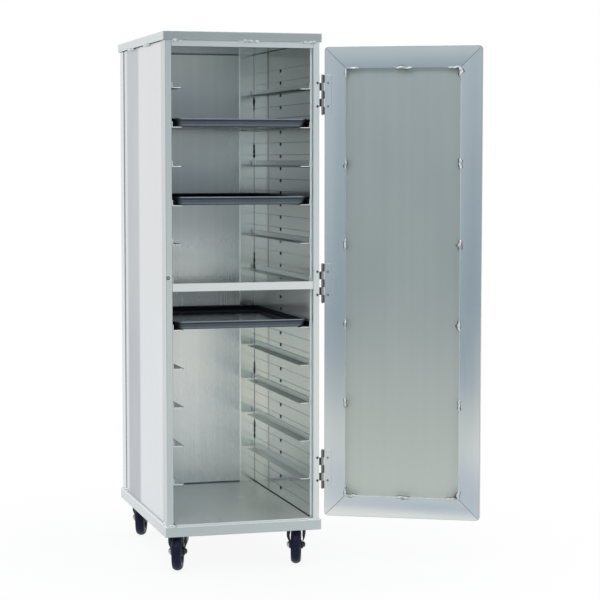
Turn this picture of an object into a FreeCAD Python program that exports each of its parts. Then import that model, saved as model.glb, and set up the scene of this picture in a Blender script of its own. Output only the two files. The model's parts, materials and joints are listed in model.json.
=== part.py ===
"""Enclosed sheet pan rack: a welded aluminium cabinet on four swivel casters.

Millimetres, +Z up, front towards -Y. The origin is on the ground under the middle of the cabinet.
"""
import FreeCAD
import Part
import Sketcher
import math
import os
import re

doc = FreeCAD.newDocument("enclosed_sheet_pan_rack")
sheet = doc.addObject("Spreadsheet::Sheet", "Sizes")
nodes = []

# Driving dimensions
SIZES = {
    # Cabinet envelope
    "cabinet_width": 531,
    "cabinet_depth": 793,
    "proud": 6.5,
    "shell_corner": 4,
    "tray_bend": 2.5,
    "base_clear": 122,
    "base_height": 35,
    "base_wall": 3,
    "body_height": 1581,
    "lid_height": 28,
    "lid_wall": 2,
    # Posts
    "post_width": 22,
    "post_side": 62,
    "post_wall": 2.5,
    "post_bend": 3,
    "jamb_depth": 22,
    "liner_lap": 18,
    "back_depth": 24,
    "back_flange": 61,
    # Panels, deck and ceiling
    "skin_wall": 1.5,
    "panel_lap": 15,
    "deck_rise": 5,
    "deck_gap": 2,
    "ceiling_drop": 2,
    # Wall linings
    "liner_depth": 4,
    "groove_height": 1.6,
    "groove_depth": 0.6,
    "groove_drop": 5,
    "slot_length": 22,
    "slot_height": 11,
    # Front rails
    "rail_wall": 2,
    "header_drop": 20,
    "header_depth": 20,
    "mid_rail_level": 769.5,
    "mid_rail_height": 26,
    "mid_rail_depth": 12,
    # Slides
    "slide_level": 1430,
    "slide_pitch": 127,
    "bank_gap": 25,
    "slide_setback": 18,
    "slide_length": 700,
    "slide_wall": 2.5,
    "slide_leg": 20,
    "slide_nose": 12,
    "ledge_width": 37.5,
    # Sheet pans
    "pan_side_gap": 2,
    "pan_length": 660,
    "pan_height": 27,
    "pan_wall": 1.2,
    "pan_rim": 6,
    "pan_bead": 4.8,
    "pan_bead_round": 2.2,
    "pan_draft": 9,
    "pan_corner": 24,
    "pan_clear": 0.3,
    "pan_setback": 10.5,
    # Hinges
    "hinge_out": 10.5,
    "hinge_height": 130,
    "hinge_spacing": 621,
    "leaf_wall": 1.5,
    "leaf_gap": 0.6,
    "leaf_width": 30,
    "knuckle_radius": 5,
    "knuckle_gap": 0.3,
    "pin_radius": 2.5,
    "pin_clear": 0.05,
    "rivet_radius": 2.5,
    "rivet_head": 4,
    "rivet_head_depth": 0.8,
    "rivet_tail": 2,
    "rivet_clear": 0.1,
    "rivet_reach": 17.5,
    "rivet_spacing": 76.5,
    # Door
    "door_width": 519,
    "door_height": 1555,
    "door_lift": 11,
    "door_edge": 6,
    "door_depth": 25,
    "door_wall": 2,
    "door_corner": 12,
    "frame_width": 70,
    "door_open": 152.7,
    # Door pull and catch
    "pull_radius": 5,
    "pull_length": 160,
    "pull_reach": 40,
    "pull_bend": 15,
    "pull_inset": 35,
    "catch_level": 814,
    "catch_inset": 7,
    "catch_radius": 6,
    "catch_height": 3,
    "pole_radius": 3,
    "pole_clear": 0.1,
    # Casters
    "caster_inset_x": 62.5,
    "caster_inset_y": 88,
    "caster_turn": -18.5,
    "bearer_depth": 3,
    "bearer_width": 120,
    "plate_width": 84,
    "plate_length": 100,
    "plate_wall": 3,
    "plate_corner": 8,
    "bolt_span_x": 60,
    "bolt_span_y": 76,
    "bolt_radius": 4,
    "bolt_head": 7,
    "bolt_head_depth": 5,
    "bolt_clear": 0.2,
    "race_radius": 27,
    "race_depth": 8,
    "swivel_gap": 0.3,
    "king_radius": 6,
    "king_head": 10,
    "king_head_depth": 4,
    "fork_width": 62,
    "fork_waist": 46,
    "fork_shoulder": 26,
    "fork_wall": 3,
    "fork_front": 38,
    "fork_back": 30,
    "fork_brow": 16,
    "fork_boss": 14,
    "caster_trail": 30,
    "wheel_radius": 63.5,
    "wheel_width": 32,
    "tread_round": 20,
    "core_radius": 47,
    "core_width": 30,
    "core_rim": 7,
    "core_web": 8,
    "hub_radius": 16,
    "hub_width": 39,
    "tyre_clear": 0.05,
    "axle_radius": 5,
    "axle_nut": 9.5,
    "axle_nut_depth": 6,
}

# Counts
UPPER_SLIDES = 6
LOWER_SLIDES = 5
SLOTS_PER_PITCH = 3
SLOTS_ABOVE = 2
UPPER_SLOTS_BELOW = 1
LOWER_SLOTS_BELOW = 2
KNUCKLES = 5
HINGE_PLACES = (-1, 0, 1)
PAN_LEVELS = (1, 3, 6)
HEX_SIDES = 6

# Places closer than this are the same, and so are unit directions whose ends are
NEAR = 0.01

# Degrees
FULL_TURN = 360
QUARTER_TURN = 90

# Places worked out from the driving dimensions
BODY_X = "(cabinet_width / 2 - proud)"
BODY_Y = "(cabinet_depth / 2 - proud)"
BASE_TOP = "(base_clear + base_height)"
LID_BOTTOM = f"({BASE_TOP} + body_height)"
LID_UNDER = f"({LID_BOTTOM} + lid_height - lid_wall)"
CEILING = f"({LID_BOTTOM} - ceiling_drop)"
POST_IN = f"({BODY_X} - post_width)"
LINER_IN = f"({POST_IN} - liner_depth)"
LINER_FRONT = f"(jamb_depth - {BODY_Y})"
BACK_IN = f"({BODY_Y} - back_depth)"
PAN_X = f"({LINER_IN} - slide_wall - pan_side_gap)"
PANEL_OUT = f"({BODY_X} - post_wall)"
HINGE_X = f"({BODY_X} + hinge_out)"
FACE_GAP = "(leaf_wall + leaf_gap / 2)"
HINGE_Y = f"(-{BODY_Y} - {FACE_GAP})"
DOOR_BOTTOM = f"({BASE_TOP} + door_lift)"
DOOR_TOP = f"({DOOR_BOTTOM} + door_height)"
DOOR_MIDDLE = f"({DOOR_BOTTOM} + door_height / 2)"
DOOR_RIGHT = "(-door_edge)"
DOOR_LEFT = "(-door_edge - door_width)"
DOOR_FACE = f"(-{FACE_GAP})"
SKIN_BACK = f"({DOOR_FACE} - door_depth + skin_wall)"
DOOR_OUTER = f"({DOOR_FACE} - door_depth)"
PLATE_TOP = f"({BASE_TOP} - base_wall - bearer_depth)"
PLATE_UNDER = f"({PLATE_TOP} - plate_wall)"
FORK_TOP = f"({PLATE_UNDER} - race_depth - swivel_gap)"
CROWN_UNDER = f"({FORK_TOP} - fork_wall)"
CASTER_X = "(cabinet_width / 2 - caster_inset_x)"
CASTER_Y = "(cabinet_depth / 2 - caster_inset_y)"
POST_LEAF = ("leaf_gap / 2", FACE_GAP)
POST_SINK = ("leaf_gap / 2", "leaf_gap / 2 + rivet_head_depth")
DOOR_LEAF = (f"-{FACE_GAP}", "-leaf_gap / 2")
DOOR_SINK = ("-leaf_gap / 2 - rivet_head_depth", "-leaf_gap / 2")
CASTERS = {
    "front_left": (f"-{CASTER_X}", f"-{CASTER_Y}"),
    "front_right": (CASTER_X, f"-{CASTER_Y}"),
    "rear_left": (f"-{CASTER_X}", CASTER_Y),
    "rear_right": (CASTER_X, CASTER_Y),
}

AXLE = ("-caster_trail", "wheel_radius")
BOLT_CORNERS = [(f"({sx} bolt_span_x / 2)", f"({sy} bolt_span_y / 2)") for sx in "-+" for sy in "-+"]

X_AXIS = FreeCAD.Vector(1, 0, 0)
Y_AXIS = FreeCAD.Vector(0, 1, 0)
Z_AXIS = FreeCAD.Vector(0, 0, 1)
# Turns that lay a part made along Z along another axis
LAY = {
    "x": FreeCAD.Rotation(Y_AXIS, QUARTER_TURN),
    "y": FreeCAD.Rotation(X_AXIS, -QUARTER_TURN),
    "z": FreeCAD.Rotation(),
}
SIZE_NAME = re.compile(r"\b[a-z]\w{2,}\b(?!\()")


# Sheet and expressions
def fill_sheet():
    """Writes each driving dimension beside its name and gives the cell that name as alias."""
    for row, (name, value) in enumerate(SIZES.items(), 1):
        sheet.set(f"A{row}", name)
        sheet.set(f"B{row}", str(value))
        sheet.setAlias(f"B{row}", name)
    doc.recompute()


def cell(text):
    """Turns each size name in an expression into a reference to its cell."""
    return SIZE_NAME.sub(lambda word: f"Sizes.{word.group(0)}", str(text))


def bind(item, **texts):
    """Binds properties of an object to expressions."""
    for name, text in texts.items():
        item.setExpression(name, cell(text))


def put(item, x=0, y=0, z=0, turn=None):
    """Binds where an object stands and, where given, its turn about Z in degrees."""
    for letter, text in zip("xyz", (x, y, z)):
        item.setExpression(f"Placement.Base.{letter}", cell(text))
    if turn is not None:
        item.setExpression("Placement.Rotation.Angle", f"{cell(turn)} * 1 deg")
    return item


def node(item, label):
    """Registers an object as one sub-part."""
    item.Label = label
    nodes.append(item)
    return item


# Solids
def box(name, x, y, z):
    """Block between a low and a high expression along each axis."""
    item = doc.addObject("Part::Box", name)
    for side, (low, high) in zip(("Length", "Width", "Height"), (x, y, z)):
        item.setExpression(side, cell(f"({high}) - ({low})"))
    return put(item, x[0], y[0], z[0])


def rod(name, radius, along, span, across, sides=0):
    """Cylinder, or prism of so many sides, along one axis, centred on the two other axes."""
    if sides:
        item = doc.addObject("Part::Prism", name)
        item.Polygon = sides
        bind(item, Circumradius=radius)
    else:
        item = doc.addObject("Part::Cylinder", name)
        bind(item, Radius=radius)
    bind(item, Height=f"({span[1]}) - ({span[0]})")
    item.Placement = FreeCAD.Placement(FreeCAD.Vector(), LAY[along])
    centre = list(across)
    centre.insert("xyz".index(along), span[0])
    return put(item, *centre)


def ring(name, radius, tube, along, centre, sweep=FULL_TURN):
    """Torus, or part of one, about one axis."""
    item = doc.addObject("Part::Torus", name)
    bind(item, Radius1=radius, Radius2=tube)
    item.Angle3 = sweep
    item.Placement = FreeCAD.Placement(FreeCAD.Vector(), LAY[along])
    return put(item, *centre)


def fuse(name, *items):
    """Union of solids."""
    item = doc.addObject("Part::MultiFuse", name)
    item.Shapes = list(items)
    item.Refine = True
    return item


def group(name, *items):
    """Separate solids kept together as one sub-part."""
    item = doc.addObject("Part::Compound", name)
    item.Links = list(items)
    return item


def cut(name, base, *tools):
    """Base less every tool."""
    item = doc.addObject("Part::Cut", name)
    item.Base = base
    item.Tool = tools[0] if len(tools) == 1 else group(f"{name}_tools", *tools)
    return item


def common(name, first, second):
    """What two solids share."""
    item = doc.addObject("Part::Common", name)
    item.Base = first
    item.Tool = second
    return item


def mirrored(name, source):
    """The same solid on the other side of the middle plane."""
    item = doc.addObject("Part::Mirroring", name)
    item.Source = source
    item.Normal = X_AXIS
    return item


def outline(body, role, points):
    """Closed outline in one of a body's origin planes, with every corner held at two expressions."""
    sketch = body.newObject("Sketcher::SketchObject", f"{body.Name}_outline")
    plane = next(f for f in body.Origin.OriginFeatures if f.Role == role)
    sketch.AttachmentSupport = (plane, [""])
    sketch.MapMode = "FlatFace"
    count = len(points)
    turns = [2 * math.pi * i / count for i in range(count)]
    corners = [FreeCAD.Vector(math.cos(a), math.sin(a), 0) for a in turns]
    for i in range(count):
        sketch.addGeometry(Part.LineSegment(corners[i], corners[(i + 1) % count]))
    for i, point in enumerate(points):
        sketch.addConstraint(Sketcher.Constraint("Coincident", i, 2, (i + 1) % count, 1))
        for kind, text, start in zip(("DistanceX", "DistanceY"), point, corners[i]):
            index = sketch.addConstraint(Sketcher.Constraint(kind, -1, 1, i, 1, start))
            sketch.setExpression(f"Constraints[{index}]", cell(text))
    return sketch


def prism(name, role, points, low, high):
    """Outline carried straight from low to high along the normal of its plane."""
    body = doc.addObject("PartDesign::Body", name)
    sketch = outline(body, role, points)
    pad = body.newObject("PartDesign::Pad", f"{name}_pad")
    pad.Profile = sketch
    bind(pad, Length=f"({high}) - ({low})")
    sketch.Visibility = False
    # The XZ plane faces -Y, so what is carried from it starts at its high end
    start = {"XY_Plane": (0, 0, low), "YZ_Plane": (low, 0, 0), "XZ_Plane": (0, high, 0)}[role]
    return put(body, *start)


def edges_along(axis):
    """Chooses straight edges that run along an axis."""
    return lambda edge: isinstance(edge.Curve, Part.Line) and edge.Curve.Direction.cross(axis).Length < NEAR


def rounded(body, radius, chosen):
    """Rounds the chosen edges of a body."""
    doc.recompute()
    base = body.Tip
    names = [f"Edge{i}" for i, edge in enumerate(base.Shape.Edges, 1) if chosen(edge)]
    fillet = body.newObject("PartDesign::Fillet", f"{body.Name}_round")
    fillet.Base = (base, names)
    bind(fillet, Radius=radius)
    return body


def rectangle(x, y):
    """Corners of a rectangle between low and high expressions."""
    return [(x[0], y[0]), (x[1], y[0]), (x[1], y[1]), (x[0], y[1])]


def slab(name, x, y, z, corner):
    """Upright block with round vertical corners."""
    return rounded(prism(name, "XY_Plane", rectangle(x, y), *z), corner, edges_along(Z_AXIS))


def tray(name, half_x, half_y, z, wall, corner):
    """Folded tray with its open side down and a round bend along its top edges."""
    outer = slab(f"{name}_outer", (f"-{half_x}", half_x), (f"-{half_y}", half_y), z, corner)
    doc.recompute()
    top = max(v.Z for v in outer.Tip.Shape.Vertexes)
    rounded(outer, "tray_bend", lambda e: all(abs(v.Z - top) < NEAR for v in e.Vertexes))
    inner_x = f"({half_x} - {wall})"
    inner_y = f"({half_y} - {wall})"
    inner = slab(f"{name}_inner", (f"-{inner_x}", inner_x), (f"-{inner_y}", inner_y),
                 (f"{z[0]} - {wall}", f"{z[1]} - {wall}"), f"{corner} - {wall}")
    return cut(name, outer, inner)


# Base and casters' plates
def bolt_places():
    """Middle of every caster bolt."""
    return [(f"{x} + {dx}", f"{y} + {dy}") for x, y in CASTERS.values() for dx, dy in BOLT_CORNERS]


def bolt_holes(name, low, high):
    """Clearance holes for the caster bolts."""
    return [rod(f"{name}_{i}", "bolt_radius + bolt_clear", "z", (low, high), place)
            for i, place in enumerate(bolt_places())]


def base_frame():
    """Skirted base with a welded bearer plate over each pair of casters."""
    shell = tray("base_shell", "(cabinet_width / 2)", "(cabinet_depth / 2)", ("base_clear", BASE_TOP),
                 "base_wall", "shell_corner")
    inside = "(cabinet_width / 2 - base_wall)"
    bearers = [box(f"bearer_{i}", (f"-{inside}", inside),
                   (f"{side}{CASTER_Y} - bearer_width / 2", f"{side}{CASTER_Y} + bearer_width / 2"),
                   (PLATE_TOP, f"{BASE_TOP} - base_wall")) for i, side in enumerate("-+")]
    blank = fuse("base_blank", shell, *bearers)
    holes = bolt_holes("base_hole", f"{PLATE_TOP} - base_wall", f"{BASE_TOP} + base_wall")
    node(cut("base_frame", blank, *holes), "base_frame")


def caster_plates():
    """Top plate of each caster with its race and the riveted king pin."""
    plates = []
    for place, (x, y) in CASTERS.items():
        plate = slab(f"plate_{place}", ("-plate_width / 2", "plate_width / 2"),
                     ("-plate_length / 2", "plate_length / 2"), (PLATE_UNDER, PLATE_TOP), "plate_corner")
        race = rod(f"race_{place}", "race_radius", "z", (f"{PLATE_UNDER} - race_depth", PLATE_UNDER), (0, 0))
        under = f"{CROWN_UNDER} - swivel_gap"
        king = rod(f"king_{place}", "king_radius", "z", (under, PLATE_UNDER), (0, 0))
        head = rod(f"king_head_{place}", "king_head", "z", (f"{under} - king_head_depth", under), (0, 0))
        whole = fuse(f"caster_plate_{place}", plate, race, king, head)
        through = (f"{PLATE_UNDER} - plate_wall", f"{PLATE_TOP} + plate_wall")
        holes = [rod(f"plate_hole_{place}_{i}", "bolt_radius + bolt_clear", "z", through, corner)
                 for i, corner in enumerate(BOLT_CORNERS)]
        plates.append(put(cut(f"caster_plate_bored_{place}", whole, *holes), x, y))
    node(group("caster_top_plates", *plates), "caster_top_plates")


def caster_bolts():
    """Hexagon bolts up through the plates and the base."""
    bolts = []
    for i, place in enumerate(bolt_places()):
        shank = rod(f"bolt_shank_{i}", "bolt_radius", "z", (PLATE_UNDER, BASE_TOP), place)
        depth = (f"{PLATE_UNDER} - bolt_head_depth", PLATE_UNDER)
        head = rod(f"bolt_head_{i}", "bolt_head", "z", depth, place, HEX_SIDES)
        bolts.append(fuse(f"bolt_{i}", shank, head))
    node(group("caster_bolts", *bolts), "caster_bolts")


def caster_fork(place):
    """Pressed fork: its side outline shared with its front outline, bored for king pin and axle."""
    across = ("-fork_width", "fork_width")
    side = prism(f"fork_side_{place}", "YZ_Plane", [
        ("fork_back", FORK_TOP),
        ("-fork_front", FORK_TOP),
        ("-fork_front", f"{FORK_TOP} - fork_brow"),
        ("-caster_trail - fork_boss", "wheel_radius"),
        ("-caster_trail", "wheel_radius - fork_boss"),
        ("-caster_trail + fork_boss", "wheel_radius"),
        ("fork_back", f"{FORK_TOP} - fork_brow"),
    ], *across)
    boss = rod(f"fork_boss_{place}", "fork_boss", "x", across, AXLE)
    foot = "wheel_radius - 2 * fork_boss"
    shoulder = f"{FORK_TOP} - fork_shoulder"
    waist = "wheel_radius + fork_boss"
    right = [
        ("fork_width / 2", FORK_TOP),
        ("fork_width / 2", shoulder),
        ("fork_waist / 2", waist),
        ("fork_waist / 2", foot),
        ("fork_waist / 2 - fork_wall", foot),
        ("fork_waist / 2 - fork_wall", waist),
        ("fork_width / 2 - fork_wall", shoulder),
        ("fork_width / 2 - fork_wall", CROWN_UNDER),
    ]
    left = [(f"-({x})", z) for x, z in reversed(right)]
    front = prism(f"fork_front_{place}", "XZ_Plane", right + left, "-2 * fork_front", "2 * fork_front")
    blank = common(f"fork_blank_{place}", fuse(f"fork_outline_{place}", side, boss), front)
    king = rod(f"fork_king_{place}", "king_radius + pin_clear", "z",
               (f"{CROWN_UNDER} - fork_wall", f"{FORK_TOP} + fork_wall"), (0, 0))
    bore = rod(f"fork_bore_{place}", "axle_radius + pin_clear", "x", across, AXLE)
    return cut(f"caster_fork_{place}", blank, king, bore)


def caster_axle(place):
    """Axle bolt with its head and nut outside the fork legs."""
    half = "fork_waist / 2"
    shank = rod(f"axle_shank_{place}", "axle_radius", "x", (f"-{half}", half), AXLE)
    left = (f"-{half} - axle_nut_depth", f"-{half}")
    right = (half, f"{half} + axle_nut_depth")
    ends = [rod(f"axle_end_{place}_{i}", "axle_nut", "x", span, AXLE, HEX_SIDES)
            for i, span in enumerate((left, right))]
    return fuse(f"caster_axle_{place}", shank, *ends)


def wheel_core(place):
    """Wheel core: rim, thin web and long hub, bored for the axle."""
    disc = rod(f"core_disc_{place}", "core_radius", "x", ("-core_width / 2", "core_width / 2"), AXLE)
    sides = (("-wheel_width", "-core_web / 2"), ("core_web / 2", "wheel_width"))
    hollows = [rod(f"core_hollow_{place}_{i}", "core_radius - core_rim", "x", span, AXLE)
               for i, span in enumerate(sides)]
    hub = rod(f"core_hub_{place}", "hub_radius", "x", ("-hub_width / 2", "hub_width / 2"), AXLE)
    bore = rod(f"core_bore_{place}", "axle_radius + pin_clear", "x", ("-hub_width", "hub_width"), AXLE)
    solid = fuse(f"core_solid_{place}", cut(f"core_rim_{place}", disc, *hollows), hub)
    return cut(f"wheel_core_{place}", solid, bore)


def tyre(place):
    """Tyre with a crowned tread: a cylinder shared with a fat ring."""
    band = rod(f"tyre_band_{place}", "wheel_radius", "x", ("-wheel_width / 2", "wheel_width / 2"), AXLE)
    crown = ring(f"tyre_crown_{place}", "wheel_radius - tread_round", "tread_round", "x", (0, *AXLE))
    across = ("-wheel_width", "wheel_width")
    inside = rod(f"tyre_inside_{place}", "core_radius + tyre_clear", "x", across, AXLE)
    return cut(f"tyre_{place}", common(f"tyre_solid_{place}", band, crown), inside)


def casters():
    """Swivelling halves of the four casters, all parked the same way."""
    for place, (x, y) in CASTERS.items():
        for make in (caster_fork, caster_axle, wheel_core, tyre):
            node(put(make(place), x, y, 0, "caster_turn"), f"{make.__name__}_{place}")


# Cabinet
def folded_post(name, section, face):
    """Upright folded from sheet, with round bends at the corners that lie on one outer face."""
    body = prism(name, "XY_Plane", section, BASE_TOP, LID_UNDER)
    doc.recompute()
    reach = face(v.Y for v in body.Tip.Shape.Vertexes)
    upright = edges_along(Z_AXIS)
    return rounded(body, "post_bend", lambda e: upright(e) and abs(e.Vertexes[0].Y - reach) < NEAR)


def front_posts():
    """Channel at each front corner; the hinge post is bored for its rivets."""
    inner_end = f"{LINER_FRONT} + liner_lap"
    plain = folded_post("post_front", [
        (BODY_X, f"post_side - {BODY_Y}"),
        (BODY_X, f"-{BODY_Y}"),
        (POST_IN, f"-{BODY_Y}"),
        (POST_IN, inner_end),
        (f"{POST_IN} + post_wall", inner_end),
        (f"{POST_IN} + post_wall", f"post_wall - {BODY_Y}"),
        (f"{BODY_X} - post_wall", f"post_wall - {BODY_Y}"),
        (f"{BODY_X} - post_wall", f"post_side - {BODY_Y}"),
    ], min)
    holes = [rod(f"post_rivet_hole_{i}", "rivet_radius + rivet_clear", "y",
                 (f"-{BODY_Y} - post_wall", f"2 * post_wall - {BODY_Y}"), (f"{HINGE_X} - rivet_reach", z))
             for i, z in enumerate(rivet_levels())]
    node(cut("post_front_right", plain, *holes), "post_front_right")
    node(mirrored("post_front_left", plain), "post_front_left")


def rear_posts():
    """Channel with an inner flange, which the back panel lies behind, at each back corner."""
    right = folded_post("post_rear", [
        (BODY_X, f"{BODY_Y} - post_side"),
        (BODY_X, BODY_Y),
        (POST_IN, BODY_Y),
        (POST_IN, f"{BACK_IN} + post_wall"),
        (f"{POST_IN} - back_flange", f"{BACK_IN} + post_wall"),
        (f"{POST_IN} - back_flange", BACK_IN),
        (f"{POST_IN} + post_wall", BACK_IN),
        (f"{POST_IN} + post_wall", f"{BODY_Y} - post_wall"),
        (f"{BODY_X} - post_wall", f"{BODY_Y} - post_wall"),
        (f"{BODY_X} - post_wall", f"{BODY_Y} - post_side"),
    ], max)
    node(right, "post_rear_right")
    node(mirrored("post_rear_left", right), "post_rear_left")


def panels():
    """Side panels lapped behind the posts' side flanges, back panel, ceiling and deck."""
    tall = (BASE_TOP, LID_UNDER)
    reach = f"({BODY_Y} - post_side + panel_lap)"
    right = box("side_panel", (f"{PANEL_OUT} - skin_wall", PANEL_OUT), (f"-{reach}", reach), tall)
    node(right, "side_panel_right")
    node(mirrored("side_panel_left", right), "side_panel_left")
    wide = (f"-{POST_IN}", POST_IN)
    behind = f"{BACK_IN} + post_wall"
    node(box("back_panel", wide, (behind, f"{behind} + skin_wall"), tall), "back_panel")
    node(box("ceiling_panel", wide, (f"rail_wall - {BODY_Y}", BACK_IN), (CEILING, f"{CEILING} + skin_wall")),
         "ceiling_panel")
    deck_x = f"({LINER_IN} - deck_gap)"
    deck = tray("floor_deck", deck_x, f"({BODY_Y} - back_depth / 2)", (BASE_TOP, f"{BASE_TOP} + deck_rise"),
                "skin_wall", "shell_corner")
    node(put(deck, 0, "-back_depth / 2"), "floor_deck")


def top_cap():
    """Lid with its turned-down flange."""
    node(tray("top_cap", "(cabinet_width / 2)", "(cabinet_depth / 2)",
              (LID_BOTTOM, f"{LID_BOTTOM} + lid_height"), "lid_wall", "shell_corner"), "top_cap")


def channel_rail(name, low, high, depth):
    """Front rail folded from sheet, open to the back, between the front posts."""
    front = f"(-{BODY_Y})"
    section = [
        (front, low),
        (f"{front} + {depth}", low),
        (f"{front} + {depth}", f"{low} + rail_wall"),
        (f"{front} + rail_wall", f"{low} + rail_wall"),
        (f"{front} + rail_wall", f"{high} - rail_wall"),
        (f"{front} + {depth}", f"{high} - rail_wall"),
        (f"{front} + {depth}", high),
        (front, high),
    ]
    node(prism(name, "YZ_Plane", section, f"-{POST_IN}", POST_IN), name)


def front_rails():
    """Header under the lid and the rail across the middle of the opening."""
    channel_rail("header_rail", f"({LID_BOTTOM} - header_drop)", LID_UNDER, "header_depth")
    low = f"({BASE_TOP} + mid_rail_level)"
    channel_rail("mid_rail", low, f"({low} + mid_rail_height)", "mid_rail_depth")


# Wall linings, slides and pans
def slide_height(index):
    """Top face of a slide's ledge, counted from the top; the lower bank hangs one gap lower."""
    drop = " - bank_gap" if index >= UPPER_SLIDES else ""
    return f"({BASE_TOP} + slide_level - {index} * slide_pitch{drop})"


def slot_levels():
    """Groove heights of both banks of the lining, slots lying just under them."""
    def bank(first_slide, slides, below):
        steps = range(-SLOTS_ABOVE, SLOTS_PER_PITCH * (slides - 1) + below + 1)
        top = f"{slide_height(first_slide)} - groove_drop"
        return [f"{top} - ({i}) * slide_pitch / {SLOTS_PER_PITCH}" for i in steps]

    return bank(0, UPPER_SLIDES, UPPER_SLOTS_BELOW) + bank(UPPER_SLIDES, LOWER_SLIDES, LOWER_SLOTS_BELOW)


def wall_linings():
    """Lining of each side wall: a shallow pan of sheet with grooves and a column of slots at mid depth."""
    block = box("liner_block", (LINER_IN, POST_IN), (LINER_FRONT, BACK_IN), (BASE_TOP, CEILING))
    hollow = box("liner_hollow", (f"{LINER_IN} + skin_wall", f"{POST_IN} + skin_wall"),
                 (f"{LINER_FRONT} + skin_wall", f"{BACK_IN} - skin_wall"),
                 (f"{BASE_TOP} + skin_wall", f"{CEILING} - skin_wall"))
    middle = f"({LINER_FRONT} + {BACK_IN}) / 2"
    tools = [hollow]
    for i, level in enumerate(slot_levels()):
        tools.append(box(f"groove_{i}", (f"{LINER_IN} - skin_wall", f"{LINER_IN} + groove_depth"),
                         (f"{LINER_FRONT} - skin_wall", f"{BACK_IN} + skin_wall"),
                         (f"{level} - groove_height / 2", f"{level} + groove_height / 2")))
        tools.append(box(f"slot_{i}", (f"{LINER_IN} - skin_wall", f"{LINER_IN} + 2 * skin_wall"),
                         (f"{middle} - slot_length / 2", f"{middle} + slot_length / 2"),
                         (f"{level} - slot_height", level)))
    right = cut("wall_lining", block, *tools)
    node(right, "wall_lining_right")
    node(mirrored("wall_lining_left", right), "wall_lining_left")


def slide_pair(index):
    """One level of slides: an angle on each wall with a round nose at the front of its ledge."""
    top = slide_height(index)
    wall = LINER_IN
    section = [
        (wall, "-slide_wall"),
        (f"{wall} - ledge_width", "-slide_wall"),
        (f"{wall} - ledge_width", 0),
        (f"{wall} - slide_wall", 0),
        (f"{wall} - slide_wall", "slide_leg - slide_wall"),
        (wall, "slide_leg - slide_wall"),
    ]
    front = f"(slide_setback - {BODY_Y})"
    body = prism(f"slide_{index}", "XZ_Plane", section, front, f"{front} + slide_length")
    doc.recompute()
    inner = min(v.X for v in body.Tip.Shape.Vertexes)
    lead = min(v.Y for v in body.Tip.Shape.Vertexes)
    nose = FreeCAD.Vector(inner, lead, 0)
    upright = edges_along(Z_AXIS)
    rounded(body, "slide_nose",
            lambda e: upright(e) and e.Vertexes[0].Point.distanceToLine(nose, Z_AXIS) < NEAR)
    pair = group(f"slide_pair_{index}", body, mirrored(f"slide_left_{index}", body))
    node(put(pair, 0, 0, top), f"slide_pair_{index + 1:02d}")


def pan_dish(name, inset, low):
    """Block whose walls spread towards its mouth, with round corners."""
    half_x = f"({PAN_X} - pan_rim - pan_draft - {inset})"
    half_y = f"(pan_length / 2 - pan_rim - pan_draft - {inset})"
    floor = rectangle((f"-{half_x}", half_x), (f"-{half_y}", half_y))
    body = prism(name, "XY_Plane", floor, low, "pan_height")
    bind(body.Tip, TaperAngle="atan(pan_draft / pan_height)")
    return rounded(body, f"pan_corner - {inset}", lambda e: e.BoundBox.ZLength > NEAR)


def sheet_pan(number, level):
    """Pan with drafted walls, round corners and a rolled rim."""
    name = f"pan_{number}"
    outside = pan_dish(f"{name}_outside", "0", "0")
    inside = pan_dish(f"{name}_inside", "pan_wall", "pan_wall")
    rim = slab(f"{name}_rim", (f"-{PAN_X}", PAN_X), ("-pan_length / 2", "pan_length / 2"),
               ("pan_height - pan_bead", "pan_height"), "pan_corner + pan_rim")
    rounded(rim, "pan_bead_round", lambda e: e.BoundBox.ZLength < NEAR)
    shell = cut(f"{name}_shell", fuse(f"{name}_solid", outside, rim), inside)
    middle = f"pan_setback - {BODY_Y} + pan_length / 2"
    node(put(shell, 0, middle, f"{slide_height(level)} + pan_clear"), f"sheet_pan_{number}")


# Hinges and door, modelled closed about the hinge line
def hinge_levels():
    """Middle height of each hinge."""
    return [f"({DOOR_MIDDLE} + {i} * hinge_spacing)" for i in HINGE_PLACES]


def rivet_levels():
    """Height of every rivet of one leaf side."""
    return [f"({z} {sign} rivet_spacing / 2)" for z in hinge_levels() for sign in "-+"]


def knuckle_span(middle, index):
    """Low and high ends of one knuckle of a hinge."""
    step = f"hinge_height / {KNUCKLES}"
    low = f"{middle} - hinge_height / 2 + {index} * {step}"
    return f"{low} + knuckle_gap / 2", f"{low} + {step} - knuckle_gap / 2"


def hinge_leaf(name, middle, knuckles, y, sink, edge):
    """Leaf that ends at its sheet's edge but for the knuckles, bored for the pin and two sunk rivets."""
    bottom = f"{middle} - hinge_height / 2"
    plate = box(f"{name}_plate", ("-leaf_width", f"-{edge}"), y,
                (bottom, f"{bottom} + hinge_height"))
    solids = [plate]
    for i in knuckles:
        span = knuckle_span(middle, i)
        solids.append(rod(f"{name}_knuckle_{i}", "knuckle_radius", "z", span, (0, 0)))
        solids.append(box(f"{name}_tab_{i}", (f"-{edge} - leaf_wall", 0), y, span))
    bore = rod(f"{name}_bore", "pin_radius + pin_clear", "z",
               (f"{middle} - hinge_height", f"{middle} + hinge_height"), (0, 0))
    through = (f"{y[0]} - leaf_wall", f"{y[1]} + leaf_wall")
    holes = [bore]
    for i, sign in enumerate("-+"):
        place = ("-rivet_reach", f"{middle} {sign} rivet_spacing / 2")
        holes.append(rod(f"{name}_hole_{i}", "rivet_radius + rivet_clear", "y", through, place))
        holes.append(rod(f"{name}_sink_{i}", "rivet_head + rivet_clear", "y", sink, place))
    return cut(name, fuse(f"{name}_solid", *solids), *holes)


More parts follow.
